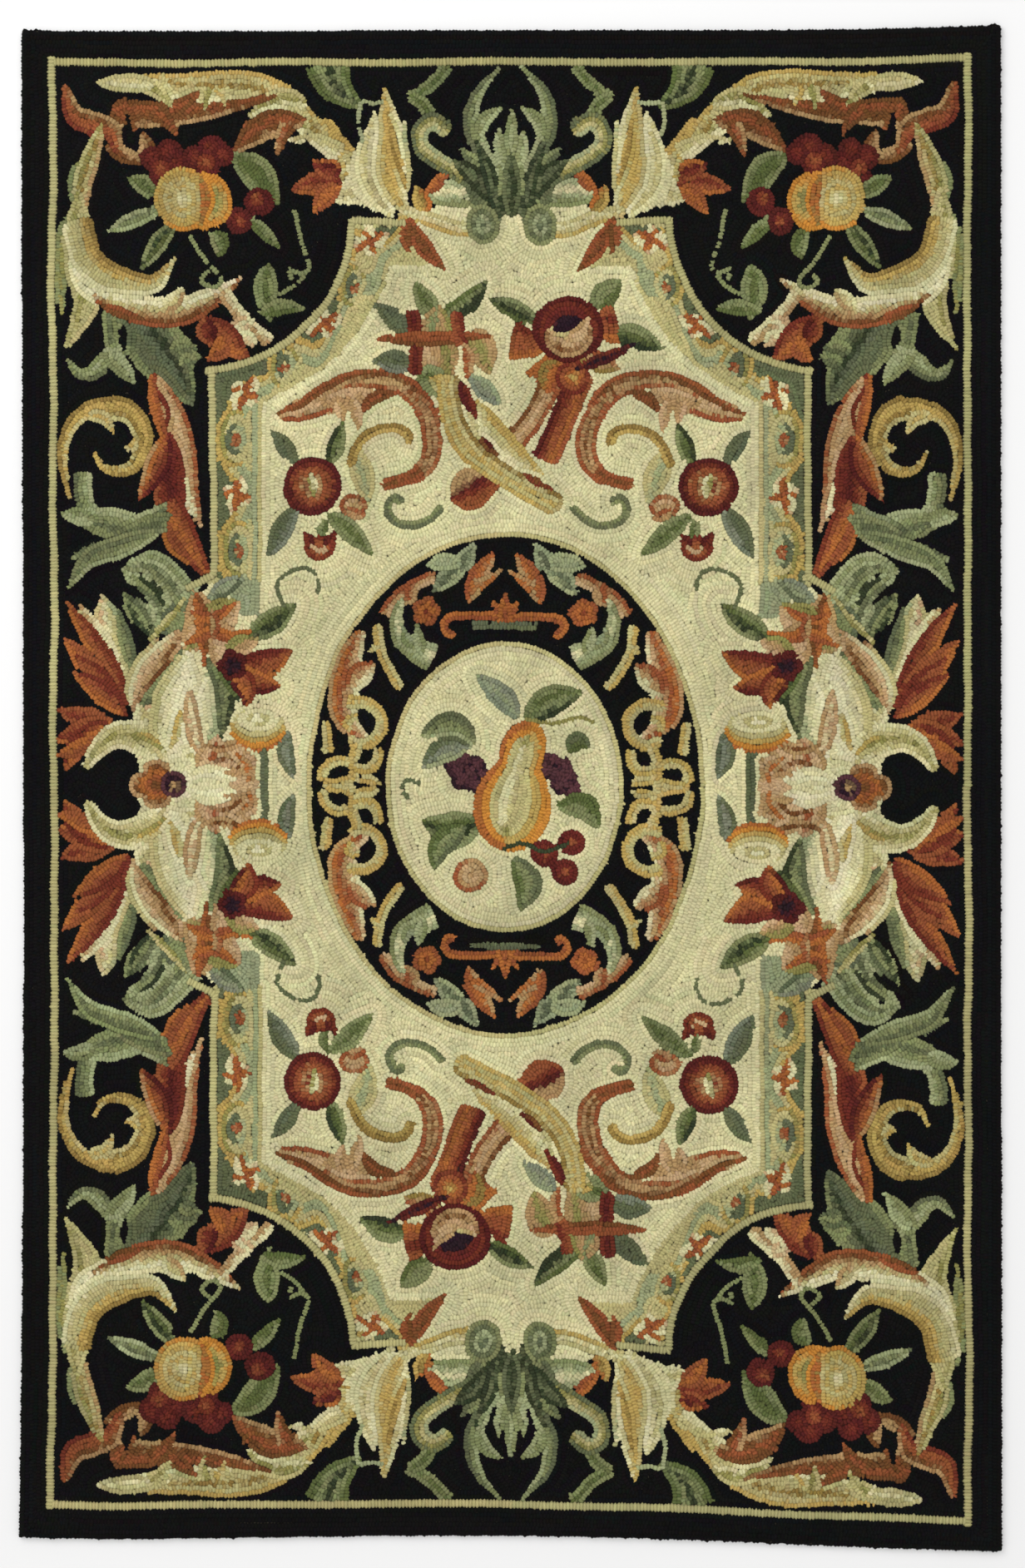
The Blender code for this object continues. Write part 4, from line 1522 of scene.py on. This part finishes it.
def feed(tree, socket, value):
    """Feeds an input from a value, or sets it to a number, colour or vector."""
    if isinstance(value, Value):
        tree.links.new(value.socket, socket)
    else:
        socket.default_value = value


def object_place(tree):
    return Value.made(tree, "TexCoord", {}, {})[3]


def noise(tree, at, scale, detail=2.0, roughness=0.55):
    inputs = {"Vector": at, "Scale": scale, "Detail": detail, "Roughness": roughness}
    return Value.made(tree, "TexNoise", {"noise_dimensions": "3D"}, inputs)[0]


def new_material(name):
    material = bpy.data.materials.new(name)
    material.use_nodes = True
    return material, material.node_tree, material.node_tree.nodes["Principled BSDF"]


SPECULAR = 0.12
SHEEN_ROUGHNESS = 0.5


def finish_cloth(tree, shader, colour, roughness, height, depth, sheen=0.0):
    """Wires a woollen or cotton surface: colour, roughness and a bump of the given depth in metres."""
    feed(tree, shader.inputs["Base Color"], colour)
    feed(tree, shader.inputs["Roughness"], roughness)
    bump = Value.made(tree, "Bump", {}, {"Height": height, "Distance": depth, "Strength": 1.0})[0]
    feed(tree, shader.inputs["Normal"], bump)
    shader.inputs["Specular IOR Level"].default_value = SPECULAR
    shader.inputs["Sheen Weight"].default_value = sheen
    shader.inputs["Sheen Roughness"].default_value = SHEEN_ROUGHNESS


def yarn_material():
    """Two-ply woollen yarn in each loop's own dye with its loop's painted shade and highlight, its fibres
    and a slight halo of fuzz.
    """
    material, tree, shader = new_material("hooked_yarn")
    place = object_place(tree)
    # each loop's dye, with painted shade at its foot and a painted highlight at its crown
    dye_and_painted_shade = Value.made(tree, "Attribute", {"attribute_name": "yarn_colour"}, {})[0]
    along, across, chance = Value.made(tree, "Attribute", {"attribute_name": "twist"}, {})[1].parts()
    fibres = noise(tree, place, 1400.0, roughness=0.7)
    slubs = noise(tree, place, 260.0, detail=1.0)
    # the two plies as a slanting wave, in radians a millimetre, which starts anywhere on each loop
    wave = across * 2.1 + along * 2.6 + chance * 6.3 + fibres * 1.5
    ply = (wave.sine() + 1.0) * 0.5
    # the ply wave darkens the colour in the grooves between the plies as painted shade; the fibres and
    # slubs vary its tone
    level = 0.80 + ply * 0.14 + fibres * 0.20 + slubs * 0.12
    roughness = (0.82 + fibres * 0.2).at_most(1.0)
    colour, relief = level.shade(dye_and_painted_shade), ply * 0.6 + fibres * 0.7
    finish_cloth(tree, shader, colour, roughness, relief, depth=0.0005, sheen=0.015)
    return material


def painted_shade_cloth_material():
    """The cloth between the loops, painted near black as painted shade down among them, and full of its
    fibres.
    """
    material, tree, shader = new_material("pile_base")
    place = object_place(tree)
    fibres = noise(tree, place, 900.0, detail=3.0, roughness=0.7)
    patches = noise(tree, place, 40.0)
    # near black: painted shade for the shadow down among the loops
    dark, pale = (0.010, 0.009, 0.008, 1.0), (0.060, 0.052, 0.036, 1.0)
    colour = (fibres * 0.7 + patches * 0.3).between(dark, pale)
    finish_cloth(tree, shader, colour, 0.85 + fibres * 0.15, fibres, depth=0.0006)
    return material


THREAD_SPACING = 0.0015


def weave_material():
    """Plain cotton weave under the rug, a thread every one and a half millimetres each way."""
    material, tree, shader = new_material("cotton_weave")
    place = object_place(tree)
    x, y, _ = place.parts()
    threads = math.tau / (2 * THREAD_SPACING)
    relief = (x * threads).sine() * (y * threads).sine() * 0.5 + 0.5
    slubs = noise(tree, place, 120.0, detail=3.0)
    fibres = noise(tree, place, 1500.0, roughness=0.7)
    dark, pale = (0.30, 0.25, 0.17, 1.0), (0.62, 0.55, 0.41, 1.0)
    # the colour follows the threads' relief, darker in the hollows between them as painted shade; slubs and
    # fibres vary its tone
    colour = (relief * 0.5 + slubs * 0.4 + fibres * 0.1).between(dark, pale)
    finish_cloth(tree, shader, colour, 0.8 + fibres * 0.2, relief * 0.8 + fibres * 0.3, depth=0.0005)
    return material


def floor_material(colour):
    """A plain pale studio floor, with the faint mottling of its paint."""
    material, tree, shader = new_material("studio_floor")
    place = object_place(tree)
    mottle = noise(tree, place, 3.0, detail=3.0)
    grain = noise(tree, place, 220.0)
    low, high = (tuple(share * part for part in colour) + (1.0,) for share in (0.99, 1.01))
    colour = (mottle * 0.6 + grain * 0.4).between(low, high)
    finish_cloth(tree, shader, colour, 0.75 + grain * 0.1, grain, depth=0.0001)
    return material


# ------------------------------------------------------------------------------ settings and stage


class RugYarns(bpy.types.PropertyGroup):
    """The colours of the dyed yarns."""

    __annotations__ = {
        yarn: bpy.props.FloatVectorProperty(
            name=yarn.replace("_", " ").capitalize(),
            description="Colour of the " + yarn.replace("_", " ") + " yarn, in linear light",
            subtype="COLOR", size=3, min=0.0, max=1.0, default=tuple(linear(colour)),
        )
        for yarn, colour in YARNS.items()
    }

    def table(self):
        return np.array([tuple(getattr(self, yarn)) for yarn in YARN_NAMES])


class RugHooking(bpy.types.PropertyGroup):
    """The sizes of the loops and of the cloth they are hooked through."""

    row_spacing: bpy.props.FloatProperty(
        name="Row spacing", description="Distance from one row of loops to the next",
        default=0.0052, min=0.003, max=0.012, unit="LENGTH", subtype="DISTANCE")
    stitch: bpy.props.FloatProperty(
        name="Stitch", description="Distance from loop to loop along a row",
        default=0.0039, min=0.002, max=0.010, unit="LENGTH", subtype="DISTANCE")
    loop_height: bpy.props.FloatProperty(
        name="Loop height", description="Height of a loop's crown over its foot",
        default=0.0019, min=0.001, max=0.006, unit="LENGTH", subtype="DISTANCE")
    cloth_depth: bpy.props.FloatProperty(
        name="Cloth depth", description="How far the foundation cloth lies below the tops of the loops",
        default=0.0030, min=0.001, max=0.006, unit="LENGTH", subtype="DISTANCE")
    dye_change: bpy.props.FloatProperty(
        name="Dye change", description="How much the dye changes over the rug",
        default=0.09, min=0.0, max=0.5, subtype="FACTOR")


class RugStage(bpy.types.PropertyGroup):
    """The floor, the lights and the camera."""

    floor_colour: bpy.props.FloatVectorProperty(
        name="Floor colour", description="Colour of the floor, in linear light",
        subtype="COLOR", size=3, min=0.0, max=1.0, default=(0.905, 0.903, 0.900))
    sky_strength: bpy.props.FloatProperty(
        name="Sky strength", description="Strength of the even light from all round",
        default=0.495, min=0.0, max=2.0)
    overhead_power: bpy.props.FloatProperty(
        name="Overhead power", description="Power of the large soft light overhead",
        default=212.0, min=0.0, unit="POWER")
    side_power: bpy.props.FloatProperty(
        name="Side power", description="Power of the soft light from the side that shows the pile",
        default=52.0, min=0.0, unit="POWER")
    camera_height: bpy.props.FloatProperty(
        name="Camera height", description="Height of the camera over the floor",
        default=5.06, min=1.0, max=20.0, unit="LENGTH", subtype="DISTANCE")
    lens: bpy.props.FloatProperty(
        name="Lens", description="Focal length of the camera's lens",
        default=100.0, min=20.0, max=300.0, unit="CAMERA")


LIGHTS = (
    # name, the setting that holds its power, its place, its size in metres
    ("overhead_light", "overhead_power", (0.0, 0.0, 7.0), 5.0),
    ("side_light", "side_power", (-1.9, 2.2, 2.9), 2.2),
)
CAMERA_AT = (0.0024, 0.0048)  # above the middle of the picture, in metres
SENSOR_WIDTH = 36.0
FLOOR_REACH = 30.0
FLOOR_LEVEL = -0.0004  # just clear of the cloth


def add_light(name, power, place, size):
    data = bpy.data.lights.new(name, "AREA")
    data.shape = "SQUARE"
    data.size = size
    data.energy = power
    light = bpy.data.objects.new(name, data)
    light.location = place
    light.rotation_mode = "QUATERNION"
    light.rotation_quaternion = (-Vector(place)).to_track_quat("-Z", "Y")
    bpy.context.scene.collection.objects.link(light)


def add_floor(colour):
    mesh = bpy.data.meshes.new("floor")
    ways = ((-1, -1), (1, -1), (1, 1), (-1, 1))
    corners = [(x * FLOOR_REACH, y * FLOOR_REACH, FLOOR_LEVEL) for x, y in ways]
    mesh.from_pydata(corners, [], [(0, 1, 2, 3)])
    mesh.materials.append(floor_material(colour))
    floor = bpy.data.objects.new("floor", mesh)
    bpy.context.scene.collection.objects.link(floor)


def light_sky(strength):
    world = bpy.data.worlds.new("studio_sky")
    world.use_nodes = True
    sky = world.node_tree.nodes["Background"]
    sky.inputs["Color"].default_value = (1.0, 1.0, 1.0, 1.0)
    sky.inputs["Strength"].default_value = strength
    bpy.context.scene.world = world


def add_camera(height, lens):
    data = bpy.data.cameras.new("camera")
    data.lens = lens
    data.sensor_width = SENSOR_WIDTH
    camera = bpy.data.objects.new("camera", data)
    camera.location = (*CAMERA_AT, height)
    bpy.context.scene.collection.objects.link(camera)
    bpy.context.scene.camera = camera


# ---------------------------------------------------------------------------------- the operators

WORK = {}  # what one operator works out for the next: the ground, the pile and the materials


def worked_out(name):
    """Something an earlier operator has made, or an error that says which one is missing."""
    if name not in WORK:
        raise RuntimeError("Plan the rows of the rug first")
    return WORK[name]


class HOOKRUG_OT_plan_rows(bpy.types.Operator):
    """Charts the design and works out where every loop of the rug goes"""

    bl_idname = "hookrug.plan_rows"
    bl_label = "Plan Rows"

    def execute(self, context):
        settings = context.scene.rug_hooking
        ground = Ground(Solid())
        loops = Hooking(ground, settings.row_spacing / MM, settings.stitch / MM).all_loops()
        WORK["ground"] = ground
        WORK["pile"] = Pile(ground, loops, settings, context.scene.rug_yarns.table())
        WORK["yarn"] = yarn_material()
        return {"FINISHED"}


class HOOKRUG_OT_hook_zone(bpy.types.Operator):
    """Hooks the loops of one zone of the rug as one piece"""

    bl_idname = "hookrug.hook_zone"
    bl_label = "Hook Zone"

    zone: bpy.props.EnumProperty(
        name="Zone", description="The part of the design to hook",
        items=[(zone, zone.replace("_", " ").capitalize(), holds) for zone, holds in ZONES])

    def execute(self, context):
        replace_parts(worked_out("pile").piece(self.zone, worked_out("yarn")), RUG_NODE)
        return {"FINISHED"}


class HOOKRUG_OT_lay_cloth(bpy.types.Operator):
    """Lays the foundation cloth under the loops, with its turned edge"""

    bl_idname = "hookrug.lay_cloth"
    bl_label = "Lay Cloth"

    def execute(self, context):
        mesh = cloth_mesh(worked_out("ground").solid, context.scene.rug_hooking.cloth_depth / MM)
        mesh.materials.append(painted_shade_cloth_material())
        mesh.materials.append(weave_material())
        cloth = add_piece(mesh)
        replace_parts(cloth, RUG_NODE)
        return {"FINISHED"}


class HOOKRUG_OT_set_stage(bpy.types.Operator):
    """Adds the floor, the lights, the sky and the camera straight over the rug"""

    bl_idname = "hookrug.set_stage"
    bl_label = "Set Stage"

    def execute(self, context):
        stage = context.scene.rug_stage
        add_floor(tuple(stage.floor_colour))
        for name, power, place, size in LIGHTS:
            add_light(name, getattr(stage, power), place, size)
        light_sky(stage.sky_strength)
        add_camera(stage.camera_height, stage.lens)
        context.scene.view_settings.view_transform = "Standard"
        return {"FINISHED"}


class HOOKRUG_PT_panel(bpy.types.Panel):
    """The rug's settings and operators"""

    bl_idname = "HOOKRUG_PT_panel"
    bl_label = "Hooked Rug"
    bl_space_type = "VIEW_3D"
    bl_region_type = "UI"
    bl_category = "Hooked Rug"

    def draw(self, context):
        for group in ("rug_hooking", "rug_yarns", "rug_stage"):
            settings = getattr(context.scene, group)
            box = self.layout.box()
            for name in settings.__annotations__:
                box.prop(settings, name)
        self.layout.operator(HOOKRUG_OT_plan_rows.bl_idname)
        for zone, _ in ZONES:
            label = "Hook " + zone.replace("_", " ")
            self.layout.operator(HOOKRUG_OT_hook_zone.bl_idname, text=label).zone = zone
        self.layout.operator(HOOKRUG_OT_lay_cloth.bl_idname)
        self.layout.operator(HOOKRUG_OT_set_stage.bl_idname)


CLASSES = (
    RugYarns, RugHooking, RugStage, HOOKRUG_OT_plan_rows, HOOKRUG_OT_hook_zone, HOOKRUG_OT_lay_cloth,
    HOOKRUG_OT_set_stage, HOOKRUG_PT_panel,
)


def register():
    for cls in CLASSES:
        bpy.utils.register_class(cls)
    bpy.types.Scene.rug_yarns = bpy.props.PointerProperty(type=RugYarns)
    bpy.types.Scene.rug_hooking = bpy.props.PointerProperty(type=RugHooking)
    bpy.types.Scene.rug_stage = bpy.props.PointerProperty(type=RugStage)


def unregister():
    for group in ("rug_yarns", "rug_hooking", "rug_stage"):
        delattr(bpy.types.Scene, group)
    for cls in reversed(CLASSES):
        bpy.utils.unregister_class(cls)


def main():
    register()
    bpy.ops.hookrug.plan_rows()
    for zone, _ in ZONES:
        bpy.ops.hookrug.hook_zone(zone=zone)
    bpy.ops.hookrug.lay_cloth()
    bpy.ops.hookrug.set_stage()


if __name__ == "__main__":
    main()
